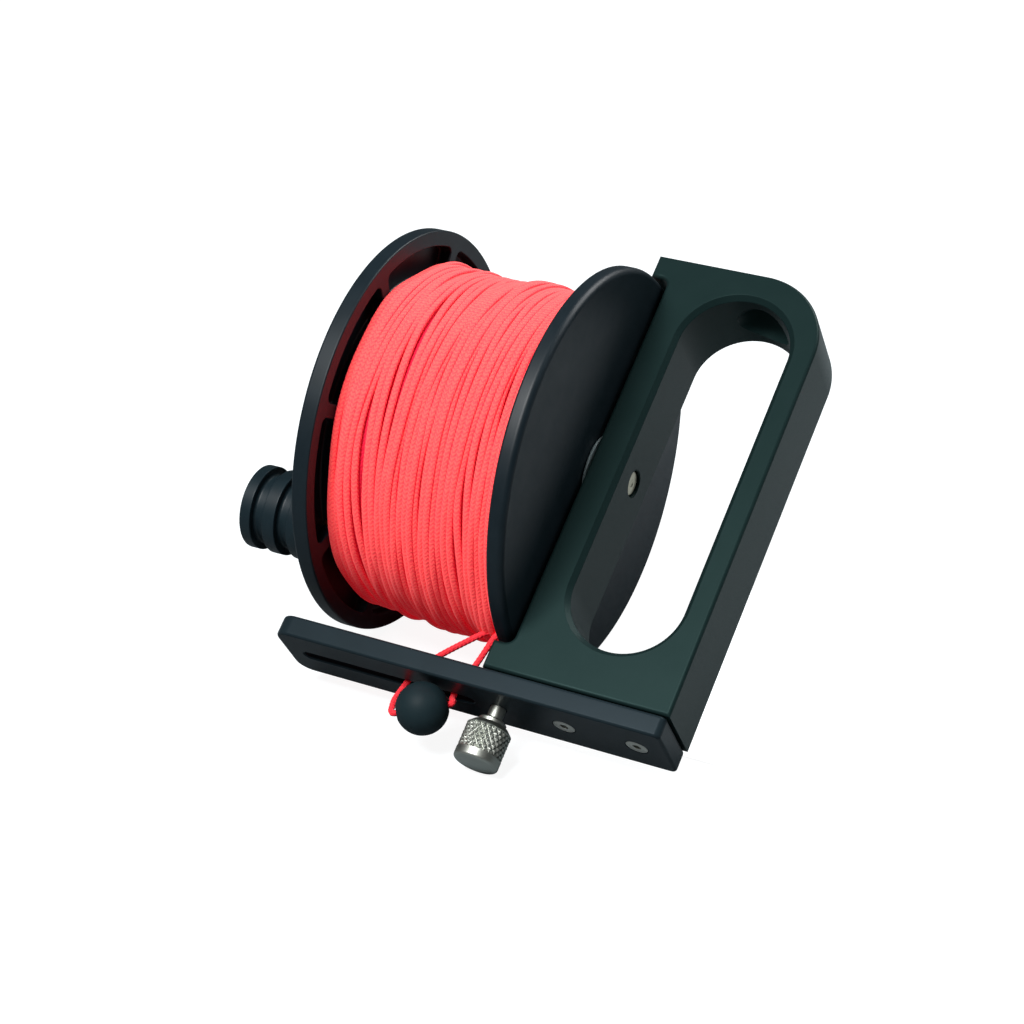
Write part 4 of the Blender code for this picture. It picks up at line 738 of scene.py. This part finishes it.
def far_flange():
    """Far flange: a ring of blind pockets on its inner face, and seats for the screws and the knob."""
    sector_steps, half_sector = 24, np.pi / POCKET_COUNT
    lip, lip_seat = BUSH_LIP_RADIUS + GAP, FAR_OUTER + BUSH_LIP + GAP
    rim = rim_rows(FAR_INNER, FAR_OUTER, FAR_INNER_EDGE, FLANGE_EDGE)
    profile = [*rim, (FAR_OUTER, lip), (lip_seat, lip), (lip_seat, BUSH_SEAT), (FAR_INNER, BUSH_SEAT)]
    patches = [lathe(profile, (0, 0, 0), X_AXIS, POCKET_COUNT * sector_steps, start=POCKET_PHASE)]
    rim_radius = rim[0][1]
    outline = pocket_outline()
    pocket_profile = fillet([(2 * POCKET_MOUTH_EDGE, 0), (0, 0), (0, -POCKET_DEPTH),
                             (-2 * POCKET_FLOOR_EDGE, -POCKET_DEPTH)],
                            (POCKET_MOUTH_EDGE, POCKET_FLOOR_EDGE), 4)[1:-1]
    mouth = offset_outline(outline, pocket_profile[0][0])
    floor = offset_outline(outline, pocket_profile[-1][0])
    floor = np.column_stack([floor, np.full(len(floor), -POCKET_DEPTH)])
    sector = np.concatenate([arc((0, 0), rim_radius, -half_sector, half_sector, sector_steps),
                             arc((0, 0), BUSH_SEAT, half_sector, -half_sector, sector_steps)])
    bridges = [((BUSH_SEAT, 0), (POCKET_INNER_RADIUS, 0)), ((rim_radius, 0), (POCKET_OUTER_RADIUS, 0))]
    for number in range(POCKET_COUNT):
        turn = POCKET_PHASE + (number + 0.5) * 2 * half_sector

        def lift(points, turn=turn):
            """Plate coordinates turned about the axle onto this sector, with height along X."""
            a, b = points[..., 0], points[..., 1]
            return np.stack([FAR_INNER + points[..., 2], a * np.cos(turn) - b * np.sin(turn),
                             a * np.sin(turn) + b * np.cos(turn)], -1)

        patches += [edge_band(outline, pocket_profile, lift), fill_patch(lift(floor))]
        patches += ring_fills(sector, mouth, bridges, 0.0, lift)
    cutters = [screw_seat(FLANGE_SCREW_HEAD, FLANGE_SCREW_RADIUS, place, -X_AXIS, 64)
               for place in flange_screw_places()]
    cutters.append(cylinder(KNOB_THREAD_RADIUS + KNOB_INSERT_WALL + 2 * GAP, 3 * FLANGE_THICKNESS,
                            KNOB_CENTRE + ((FAR_INNER + FAR_OUTER) / 2, 0, 0), X_AXIS, 64))
    piece("far_flange_pocketed", patches, FLANGE_FINISH, "spool", ["far_flange"], cutters,
          even_flats=True)


def ring(name, radii, heights, edge, finish, body, node, centre=(0, 0, 0)):
    """Washer or sleeve about the axle's direction, its four corners softened."""
    (inside, outside), (low, high) = radii, heights
    start = (low, (inside + outside) / 2)
    profile = fillet([start, (low, outside), (high, outside), (high, inside), (low, inside), start],
                     (edge,) * 4, 3)[:-1]
    piece(name, [lathe(profile, centre, X_AXIS, 96, closed=True)], finish, body, [node])


def bush(name, lip_face, towards, node):
    """Flanged plain bearing: a lip at one face and a sleeve running inwards from it."""
    bore = AXLE_RADIUS + BUSH_CLEARANCE
    mouth = (0, bore + BUSH_CHAMFER)
    rows = [mouth, (0, BUSH_LIP_RADIUS), (BUSH_LIP, BUSH_LIP_RADIUS), (BUSH_LIP, BUSH_RADIUS),
            (BUSH_LENGTH, BUSH_RADIUS), (BUSH_LENGTH, bore), (BUSH_CHAMFER, bore), mouth]
    edges = (BUSH_EDGE, BUSH_EDGE, 0, BUSH_EDGE, BUSH_EDGE, 0)
    profile = fillet([(lip_face + towards * height, radius) for height, radius in rows], edges, 3)[:-1]
    piece(name, [lathe(profile, (0, 0, 0), X_AXIS, 96, closed=True)], BEARING_FINISH, "spool",
          [node])


def axle_pieces():
    """Fixed axle, its washers and its bushes."""
    inside = AXLE_RADIUS + GAP
    washer_top = FAR_OUTER - GAP
    washer_low = washer_top - OUTER_WASHER_THICKNESS
    nut_face = washer_low - GAP
    axle_end = nut_face - NUT_THREAD_DEPTH + GAP
    head = OPENING_LEFT - AXLE_RECESS
    centre_floor = head - CENTRE_HOLE_DEPTH
    profile = fillet([(centre_floor, 0), (centre_floor, CENTRE_HOLE_FLOOR), (head, CENTRE_HOLE_MOUTH),
                      (head, AXLE_RADIUS), (axle_end, AXLE_RADIUS), (axle_end, 0)], (0.2, 0.3, 0.45, 0.6), 4)
    piece("axle_pin", [lathe(profile, (0, 0, 0), X_AXIS, 96)], AXLE_FINISH, "frame", ["axle"])
    thrust_low = NEAR_OUTER + GAP
    ring("thrust_ring", (inside, THRUST_RADIUS), (thrust_low, thrust_low + THRUST_THICKNESS), THRUST_EDGE,
         THRUST_FINISH, "frame", "thrust_washer")
    ring("outer_ring", (inside, OUTER_WASHER_RADIUS), (washer_low, washer_top), OUTER_WASHER_EDGE,
         AXLE_FINISH, "frame", "outer_washer")
    bush("near_bearing", NEAR_OUTER, -1, "near_bush")
    bush("far_bearing", FAR_OUTER, 1, "far_bush")
    cap_nut(nut_face)


def cap_nut(face):
    """Domed cap nut: a hexagon whose corners are turned off at both ends, under a quarter-round dome.

    Every radius is kept within the hexagon's flats, so that the two turned slopes show at the corners
    alone.
    """
    flats = NUT_ACROSS_FLATS / 2
    rise = flats / np.cos(np.pi / 6) - flats + NUT_CHAMFER
    slope = rise * np.tan(np.pi / 6)
    hex_end = face - NUT_HEX_HEIGHT
    inside, depth = AXLE_RADIUS + GAP, face - NUT_THREAD_DEPTH
    profile = [(depth, 0), (depth, inside), (face - NUT_MOUTH_CHAMFER, inside),
               (face, inside + NUT_MOUTH_CHAMFER)]
    shares = np.linspace(0, 1, 7)
    profile += [(face - slope * share, flats - NUT_CHAMFER + rise * share) for share in shares]
    profile += [(hex_end + slope * share, flats - NUT_CHAMFER + rise * share) for share in shares[::-1]]
    profile += [(hex_end, NUT_DOME_RADIUS + NUT_NECK), (hex_end - NUT_NECK, NUT_DOME_RADIUS)]
    turn = np.linspace(0, np.pi / 2, 13)[1:]
    profile += [*zip(hex_end - NUT_DOME_HEIGHT * np.sin(turn), NUT_DOME_RADIUS * np.cos(turn))]

    def six_sided(turn, height, radius):
        """Radius kept within the hexagon's flats."""
        return np.minimum(radius, flats * hexness(turn))

    piece("cap_nut", [lathe(profile, (0, 0, 0), X_AXIS, 144, six_sided)], AXLE_FINISH, "frame",
          ["axle_nut"])


# Winding knob

def knob():
    """Turned knob: three rings parted by two grooves, bored and counterbored for its screw."""
    start = (KNOB_BASE, KNOB_PIN_RADIUS + KNOB_SEAM)
    corners, edges = [start], []
    height = KNOB_BASE
    for radius, length, edge in ((KNOB_RADIUS, KNOB_BASE_RING, KNOB_EDGE),
                                 (KNOB_GROOVE_RADIUS, KNOB_GROOVE, KNOB_GROOVE_CORNER),
                                 (KNOB_RADIUS, KNOB_RING, KNOB_EDGE),
                                 (KNOB_GROOVE_RADIUS, KNOB_GROOVE, KNOB_GROOVE_CORNER),
                                 (KNOB_RADIUS, KNOB_END_RING, KNOB_EDGE)):
        corners += [(height, radius), (height - length, radius)]
        edges += [edge, edge]
        height -= length
    edges[-1] = KNOB_FACE_EDGE
    bore, pocket = KNOB_PIN_RADIUS + GAP, KNOB_HEAD_RADIUS + GAP
    floor = KNOB_END + KNOB_HEAD_LENGTH + KNOB_HEAD_SINK + GAP
    corners += [(KNOB_END, pocket), (floor, pocket), (floor, bore), (KNOB_BASE, bore), start]
    edges += [KNOB_POCKET_EDGE, 0, 0, KNOB_BORE_EDGE]
    profile = fillet(corners, edges, 5)[:-1]
    piece("grooved_knob", [lathe(profile, KNOB_CENTRE, X_AXIS, 160, closed=True)], KNOB_FINISH, "knob",
          ["winding_knob"], even_flats=True)


def knob_fittings():
    """The knob's threaded insert, its washer and the shoulder screw that it turns on."""
    shoulder, insert_end = FAR_OUTER - GAP, FAR_INNER - GAP
    ring("threaded_insert", (KNOB_THREAD_RADIUS + GAP, KNOB_THREAD_RADIUS + KNOB_INSERT_WALL + GAP),
         (FAR_OUTER, insert_end), KNOB_INSERT_EDGE, BRASS_FINISH, "spool", "knob_insert",
         KNOB_CENTRE)
    ring("knob_ring", (KNOB_PIN_RADIUS + GAP, KNOB_WASHER_RADIUS),
         (shoulder - KNOB_WASHER_THICKNESS, shoulder), KNOB_WASHER_EDGE, BEARING_FINISH, "spool",
         "knob_washer", KNOB_CENTRE)
    face = KNOB_END + KNOB_HEAD_SINK
    base = face + KNOB_HEAD_LENGTH
    profile = [(insert_end, 0), (insert_end, KNOB_THREAD_RADIUS - SCREW_TIP_CHAMFER),
               (insert_end - SCREW_TIP_CHAMFER, KNOB_THREAD_RADIUS), (shoulder, KNOB_THREAD_RADIUS),
               (shoulder, KNOB_PIN_RADIUS), (base, KNOB_PIN_RADIUS), (base, KNOB_HEAD_RADIUS)]
    profile += [(face + lift, KNOB_HEAD_RADIUS - inset) for lift, inset in KNOB_HEAD_ROUNDING]
    profile += socket_rows(face, 1, KNOB_SOCKET_FLATS, KNOB_SOCKET_DEPTH, KNOB_SOCKET_MOUTH,
                           KNOB_SOCKET_LEAD, KNOB_SOCKET_CONE)
    patches = [lathe(profile, KNOB_CENTRE, X_AXIS, 96, hex_socket)]
    piece("knob_pin", patches, KNOB_STEEL, "spool", ["knob_screw"])


# Lock screw

def knurled(turn, height, radius):
    """Diamond knurl: two crossed sets of grooves leave blunt pyramids, fading at the knurl's ends."""
    phase_a = (KNURL_COUNT * turn / (2 * np.pi) + height / KNURL_PITCH) % 1
    phase_b = (KNURL_COUNT * turn / (2 * np.pi) - height / KNURL_PITCH) % 1
    ridge = np.minimum(1 - np.abs(2 * phase_a - 1), 1 - np.abs(2 * phase_b - 1))
    fade = (np.clip((-height - KNURL_START) / KNURL_FADE, 0, 1)
            * np.clip((KNURL_END + height) / KNURL_FADE, 0, 1))
    on_head = (radius > LOCK_HEAD_RADIUS - KNURL_TOLERANCE) * fade
    return radius - KNURL_DEPTH * on_head * (1 - np.minimum(KNURL_BLUNTNESS * ridge, 1))


def lock_screw():
    """Thumbscrew: a plain neck and collar under a knurled head with a smooth, domed end."""
    top = ARM_OUTER - LOCK_NECK - LOCK_COLLAR
    tip = -FLANGE_RADIUS - GAP - LOCK_PAD_LENGTH - GAP - top
    head = fillet([(0, LOCK_COLLAR_RADIUS), (0, LOCK_HEAD_RADIUS - LOCK_HEAD_CHAMFER),
                   (-LOCK_HEAD_CHAMFER, LOCK_HEAD_RADIUS), (-LOCK_HEAD_LENGTH, LOCK_HEAD_RADIUS),
                   (-LOCK_HEAD_LENGTH - LOCK_END_EDGE, LOCK_HEAD_RADIUS * LOCK_DOME_SHARE),
                   (-LOCK_HEAD_LENGTH - LOCK_DOME_HEIGHT, 0)], LOCK_HEAD_BLENDS, 6)
    side = np.linspace(-LOCK_SIDE_START, LOCK_SIDE_END - LOCK_HEAD_LENGTH, 100)
    above = head[head[:, 0] > side[0] + LOCK_SIDE_CLEAR]
    below = head[head[:, 0] < side[-1] - LOCK_SIDE_CLEAR]
    profile = np.concatenate([
        [(tip, 0), (tip, LOCK_RADIUS - LOCK_TIP_CHAMFER), (tip - LOCK_TIP_CHAMFER, LOCK_RADIUS),
         (LOCK_COLLAR + LOCK_NECK_EDGE, LOCK_RADIUS), (LOCK_COLLAR, LOCK_RADIUS + LOCK_NECK_EDGE),
         (LOCK_COLLAR, LOCK_COLLAR_RADIUS - LOCK_COLLAR_EDGE),
         (LOCK_COLLAR - LOCK_COLLAR_EDGE, LOCK_COLLAR_RADIUS)],
        above, np.stack([side, np.full(side.size, LOCK_HEAD_RADIUS)], -1), below,
    ])
    patches = [lathe(profile, (LOCK_PLACE, top, 0), Y_AXIS, KNURL_COUNT * 12, knurled)]
    piece("thumbscrew", patches, LOCK_FINISH, "lock", ["lock_screw"])
    pad = frame["nodes"]["lock_pad"].data
    pad.materials.clear()
    pad.materials.append(NYLON_FINISH)


# Line

STRAND_HALF_WIDTH, STRAND_HALF_HEIGHT = 1.15, 0.84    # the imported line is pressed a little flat
STRAND_GIVE = 0.735             # share of its width that a strand keeps where two press together
LAYER_TURNS, TURN_STEPS = 30, 144
LAYER_STEP = 1.6                # mm from the lower layer's centres up to the outer layer's
TURN_SINK, TURN_RISE = 0.5, 1.0     # mm that an outer turn may lie under or over the pack's radius
FLANGE_CLEARANCE = 0.1          # mm between the last turn and a flange
RUN_SMOOTHING = 6               # points to each side over which a run's radius is evened
LAY_WAVES = (                   # how the turns stray: waves round the spool, length across it, sway, phase
    (1, 31.0, 0.60, 0.3), (2, 23.0, 0.40, 1.9), (3, 17.0, 0.30, 4.0), (5, 11.0, 0.20, 2.2),
    (8, 7.3, 0.14, 5.1),
)
STRAY_FADE = 4.0                # mm beside a flange over which that straying fades
SLIP_SPREAD, SLIP_PER_TURN = 0.40, 11    # mm that a turn slips by itself, and how often it changes
SLIP_SEED, SLIP_SMOOTHING = 5, 7
END_TURNS = 0.9                 # turns that lie against a flange before a layer sets off across the spool
END_REACH = 0.6                 # radians over which two layers meet at a flange
PACK_PLACES = (-57.4, -55.4, -53.0, -50.5, -47.0, -42.0, -35.0, -25.0, -12.0, -5.0, -0.7)
PACK_RADII = (51.7, 52.3, 51.5, 50.9, 50.4, 50.8, 50.5, 50.9, 51.0, 51.5, 52.0)
BULGE_PLACES = (-58, -53, -50, -45, -36, -31, -25, -20, -14, -9, -3)
BULGE_HEIGHTS = (1.2, 1.5, 1.4, 2.1, 2.9, 3.3, 4.1, 3.4, 3.0, 3.4, 3.8)
BULGE_TURN = 202                # degrees from Y towards Z where the pack is fullest
HUMP_PLACE, HUMP_REACH, HUMP_HEIGHT = -9.0, 4.0, 3.2    # mm, of the turns heaped over the line's way out
HUMP_TURN, HUMP_SPAN = 183, 15  # degrees to its top, and from there to its foot
RIM_TURNS = (0, 20, 33, 47, 60, 73, 82, 100, 111, 118, 131, 138, 145, 153, 161, 170, 185, 202, 230, 360)
RIM_RADII = (50.6, 51.3, 51.5, 49.4, 50.4, 52.5, 50.7, 50.0, 50.0, 49.6, 48.3, 48.1, 49.3, 49.2, 50.1, 49.9,
             48.8, 50.7, 50.9, 50.5)
RIM_FROM, RIM_REACH = -52.5, 2.5    # the turns by the far flange follow the rim's radii


def pack_radius(x, turn):
    """Radius of the outer layer's centres: a profile across the spool, uneven against the far flange,
    with a bulge, the cube of a cosine, where the line leaves, and a hump, a cosine round the spool
    times a bell curve across it, over its way out."""
    degrees = np.degrees(turn) % 360
    beside = np.clip((RIM_FROM - x) / RIM_REACH, 0, 1)
    rim = np.interp(degrees, RIM_TURNS, RIM_RADII)
    level = np.interp(x, PACK_PLACES, PACK_RADII) * (1 - beside) + rim * beside
    bulge = np.clip(np.cos(np.radians(degrees - BULGE_TURN)), 0, 1) ** 3
    from_top = np.radians(np.clip(90 / HUMP_SPAN * (degrees - HUMP_TURN), -90, 90))
    hump = np.cos(from_top) * np.exp(-((x - HUMP_PLACE) / HUMP_REACH) ** 2)
    return level + bulge * np.interp(x, BULGE_PLACES, BULGE_HEIGHTS) + HUMP_HEIGHT * hump


def laid_turns(first, last, turn, sway, slip):
    """Places across the spool of a layer's turns: an even pitch, the sum of the lay's waves and each
    turn's own slip, which fade out beside the flanges. The first and last turns lie against them."""
    low, high = min(first, last), max(first, last)
    pitch = (last - first) / (LAYER_TURNS - 2 * END_TURNS)
    x = first + pitch * (np.arange(LAYER_TURNS)[:, None] + turn / (2 * np.pi) - END_TURNS)
    stray = sum(size * np.sin(around * turn + 2 * np.pi * x / length + phase)
                for around, length, size, phase in LAY_WAVES)
    free = np.clip(np.minimum(x - low, high - x) / STRAY_FADE, 0, 1)
    return np.clip(x + free * (sway * stray + slip), low, high)


def one_run(rows):
    """Turn after turn as one run, without each turn's doubled last point."""
    return np.append(rows[:, :-1].ravel(), rows[-1, -1])


def smoothed(values, reach):
    """Mean over a bell-shaped window that many points to each side."""
    window = np.hanning(2 * reach + 3)[1:-1]
    return np.convolve(np.pad(values, reach, mode="edge"), window / window.sum(), "valid")


def own_slips():
    """Random sideways slips along a layer's run, smooth from knot to knot."""
    knots = LAYER_TURNS * SLIP_PER_TURN
    values = np.random.default_rng(SLIP_SEED).normal(0, SLIP_SPREAD, knots + 1)
    places = np.linspace(0, knots, LAYER_TURNS * TURN_STEPS + 1)
    run = smoothed(np.interp(places, np.arange(knots + 1), values), SLIP_SMOOTHING)
    return np.stack([run[k * TURN_STEPS:(k + 1) * TURN_STEPS + 1] for k in range(LAYER_TURNS)])


def joined_ends(radius, turned, first, last):
    """Radii led to given ones at the run's two ends, each by three s squared minus two s cubed."""
    for walked, value in ((turned, first), (turned[-1] - turned, last)):
        s = np.clip(1 - walked / END_REACH, 0, 1)
        radius = radius + s * s * (3 - 2 * s) * (value - radius)
    return radius


def winding():
    """Packed line: an even lower layer, then an outer one whose turns stray, ride up where they meet
    and leave slits where they part.

    A turn lies at the radius where it rests on the turns already laid: the highest of each one's
    radius plus height * root of (1 - (sideways distance / width) squared).
    """
    low = FAR_INNER + STRAND_HALF_WIDTH + FLANGE_CLEARANCE
    high = NEAR_INNER - STRAND_HALF_WIDTH - FLANGE_CLEARANCE
    turn = np.linspace(0, 2 * np.pi, TURN_STEPS + 1)
    lower_x = laid_turns(low, high, turn, 0, 0)
    lower_r = pack_radius(lower_x, turn) - LAYER_STEP
    outer_x = laid_turns(high, low, turn, 1, own_slips())
    outer_r = np.zeros_like(outer_x)
    width, height = 2 * STRAND_HALF_WIDTH * STRAND_GIVE, 2 * STRAND_HALF_HEIGHT
    for k in range(LAYER_TURNS):
        level = pack_radius(outer_x[k], turn)
        rest = level - TURN_SINK
        for other_x, other_r in [*zip(lower_x, lower_r), *zip(outer_x[:k], outer_r[:k])]:
            apart = np.minimum(np.abs(outer_x[k] - other_x) / width, 1)
            rest = np.where(apart < 1, np.maximum(rest, other_r + height * np.sqrt(1 - apart ** 2)), rest)
        outer_r[k] = np.minimum(rest, level + TURN_RISE)
    far_meet, near_meet = (lower_r[0, 0] + outer_r[-1, -1]) / 2, (lower_r[-1, -1] + outer_r[0, 0]) / 2
    turned = np.linspace(0, 2 * np.pi * LAYER_TURNS, LAYER_TURNS * TURN_STEPS + 1)
    layers = (
        ("wound_line_lower", lower_x, lower_r, far_meet, near_meet, 2, 8, "line_core", SHADED_INNER_LINE_FINISH),
        ("wound_line_outer", outer_x, outer_r, near_meet, far_meet, 1, 12, "line_turns", LINE_FINISH),
    )
    for name, places, radii, first, last, skip, sides, node, finish in layers:
        walked = turned[::skip]
        radius = joined_ends(smoothed(one_run(radii), RUN_SMOOTHING)[::skip], walked, first, last)
        out = np.stack([0 * walked, np.cos(walked), np.sin(walked)], -1)
        route = one_run(places)[::skip, None] * X_AXIS + radius[:, None] * out
        tube = sweep(route, STRAND_HALF_WIDTH, sides, out, flat=STRAND_HALF_HEIGHT)
        piece(name, tube, finish, "spool", [node])


def smooth_route(guides, step):
    """Points every step along the Catmull-Rom curve through the guide points: half of (2 b + (c - a) t
    + (2 a - 5 b + 4 c - d) t squared + (3 b - a - 3 c + d) t cubed) between b and c."""
    guides = np.asarray(guides, float)
    padded = np.concatenate([[2 * guides[0] - guides[1]], guides, [2 * guides[-1] - guides[-2]]])
    a, b, c, d = (padded[i:len(padded) - 3 + i][:, None] for i in range(4))
    t = np.linspace(0, 1, 40, endpoint=False)[None, :, None]
    fine = 0.5 * (2 * b + (c - a) * t + (2 * a - 5 * b + 4 * c - d) * t ** 2
                  + (3 * b - a - 3 * c + d) * t ** 3)
    fine = np.concatenate([fine.reshape(-1, 3), guides[-1:]])
    walked = np.append(0, np.cumsum(np.linalg.norm(np.diff(fine, axis=0), axis=1)))
    even = np.linspace(0, walked[-1], int(round(walked[-1] / step)) + 1)
    return np.stack([np.interp(even, walked, fine[:, i]) for i in range(3)], -1)


def braid_relief(walked, turn):
    """Braid's stitches: columns of slanting waves, highest along each column's middle."""
    column = turn / np.pi * BRAID_COLUMNS % 2
    across = np.minimum(column, 2 - column)
    stitch = np.sin(2 * np.pi * walked / BRAID_PITCH + BRAID_SLANT * across)
    return BRAID_STITCH_HEIGHT * stitch + BRAID_COLUMN_HEIGHT * np.sin(np.pi * across) - BRAID_COLUMN_HEIGHT


def loop_and_ball():
    """Doubled end of the line through the slot and the rubber ball, whose bore has a rounded mouth."""
    guides = [*LOOP_START, *(BALL_CENTRE + reach * BALL_BORE_AXIS for reach in LOOP_BORE), *LOOP_END]
    tube = sweep(smooth_route(guides, LOOP_STEP), LINE_DIAMETER / 2, 24, Z_AXIS, relief=braid_relief)
    piece("line_loop_braided", tube, SHADED_LOOP_FINISH, "frame", ["line_loop"])
    lip = np.arcsin((BALL_BORE_RADIUS + BALL_MOUTH) / BALL_RADIUS)
    turn = np.linspace(lip, np.pi - lip, 65)
    side = np.stack([BALL_RADIUS * np.cos(turn), BALL_RADIUS * np.sin(turn)], -1)
    reach = BALL_RADIUS * np.cos(lip)
    turn = np.linspace(0, np.pi / 2, 6)[1:-1]
    mouth = np.stack([reach - BALL_MOUTH * (1 - np.cos(turn)),
                      BALL_BORE_RADIUS + BALL_MOUTH * (1 - np.sin(turn))], -1)
    bore = np.concatenate([mouth, [(reach - BALL_MOUTH, BALL_BORE_RADIUS), (0, BALL_BORE_RADIUS)]])
    profile = np.concatenate([side, bore[:-1][::-1] * (-1, 1), bore[::-1]])
    piece("rubber_ball", [lathe(profile, BALL_CENTRE, BALL_BORE_AXIS, 96, closed=True)], RUBBER_FINISH,
          "frame", ["line_ball"])


# Floor, light and camera

STAGE_SHEETS = (                # name, lowest and highest corner in metres, height, colour
    ("floor", (-3.0, -3.0), (3.0, 3.0), 0.0, "#737b7f"),
    ("pale_card", (0.045, -0.03), (0.6, 0.6), 0.0003, "#a6aeb2"),
)
SOFTBOXES = (                   # name, place and target in metres, side in metres, watts
    ("back_softbox", (0.40, 0.74, 0.82), (0, 0, 0.06), 0.7, 14.5),
    ("front_softbox", (-0.14, -0.57, 0.88), (0, 0, 0.05), 0.4, 17.0),
)
SHEET_GLOW, ROOM_GLOW = 0.92, 0.07      # strength of the sheets to the camera, and of the room's light
CAMERA_PLACE = (288.143, -296.088, 634.639)
CAMERA_RIGHT = np.array([0.88912, 0.37484, -0.26261])
CAMERA_DOWN = np.array([0.21777, -0.85116, -0.47761])
CAMERA_LENS = 90.33             # mm, on a sensor 36 mm wide


def matt_table(name, code):
    """Matt studio surface: white to the camera, with the object's shadow kept."""
    result, tree, shader = new_material(name, Base_Color=colour(code), Roughness=0.9,
                                        Specular_IOR_Level=0.1, Emission_Color=(1, 1, 1, 1))
    seen = add(tree, "ShaderNodeLightPath", out="Is Camera Ray")
    glow = add(tree, "ShaderNodeMath", {0: seen, 1: SHEET_GLOW}, operation="MULTIPLY")
    tree.links.new(glow, shader.inputs["Emission Strength"])
    return result


def stage():
    """Wide floor with a paler card behind the grip, a surround that is white to the camera alone, and
    two softboxes."""
    for name, (low_x, low_y), (high_x, high_y), height, code in STAGE_SHEETS:
        mesh = bpy.data.meshes.new(name)
        corners = ((low_x, low_y), (high_x, low_y), (high_x, high_y), (low_x, high_y))
        mesh.from_pydata([(x, y, height) for x, y in corners], [], [(0, 1, 2, 3)])
        surface = bpy.data.objects.new(name, mesh)
        bpy.context.scene.collection.objects.link(surface)
        mesh.materials.append(matt_table(name, code))

    world = bpy.data.worlds.new("studio")
    bpy.context.scene.world = world
    world.use_nodes = True
    tree = world.node_tree
    background = tree.nodes["Background"]
    background.inputs["Color"].default_value = (1, 1, 1, 1)
    seen = add(tree, "ShaderNodeLightPath", out="Is Camera Ray")
    strength = add(tree, "ShaderNodeMapRange", {"Value": seen, "To Min": ROOM_GLOW, "To Max": 1.0})
    tree.links.new(strength, background.inputs["Strength"])

    for name, place, target, side, watts in SOFTBOXES:
        data = bpy.data.lights.new(name, "AREA")
        data.shape = "RECTANGLE"
        data.size = data.size_y = side
        data.energy = watts
        lamp = bpy.data.objects.new(name, data)
        bpy.context.scene.collection.objects.link(lamp)
        lamp.location = place
        lamp.rotation_euler = (Vector(target) - Vector(place)).to_track_quat("-Z", "Y").to_euler()


def camera():
    """Camera at the photograph's viewpoint, turned as it was held."""
    data = bpy.data.cameras.new("camera")
    data.sensor_width = 36.0
    data.lens = CAMERA_LENS
    data.clip_start = 0.01
    item = bpy.data.objects.new("camera", data)
    bpy.context.scene.collection.objects.link(item)
    right, up = CAMERA_RIGHT @ REEL_AXES, -CAMERA_DOWN @ REEL_AXES
    pose = np.eye(4)
    pose[:3, :3] = np.stack([right, up, np.cross(right, up)], -1)
    pose[:3, 3] = to_world(CAMERA_PLACE)
    item.matrix_world = Matrix(pose.tolist())
    bpy.context.scene.camera = item


camera()
loop_and_ball()
winding()
slab()
arm()
screws()
near_flange()
far_flange()
axle_pieces()
knob()
knob_fittings()
lock_screw()
stage()
bpy.context.scene.view_settings.view_transform = "Standard"
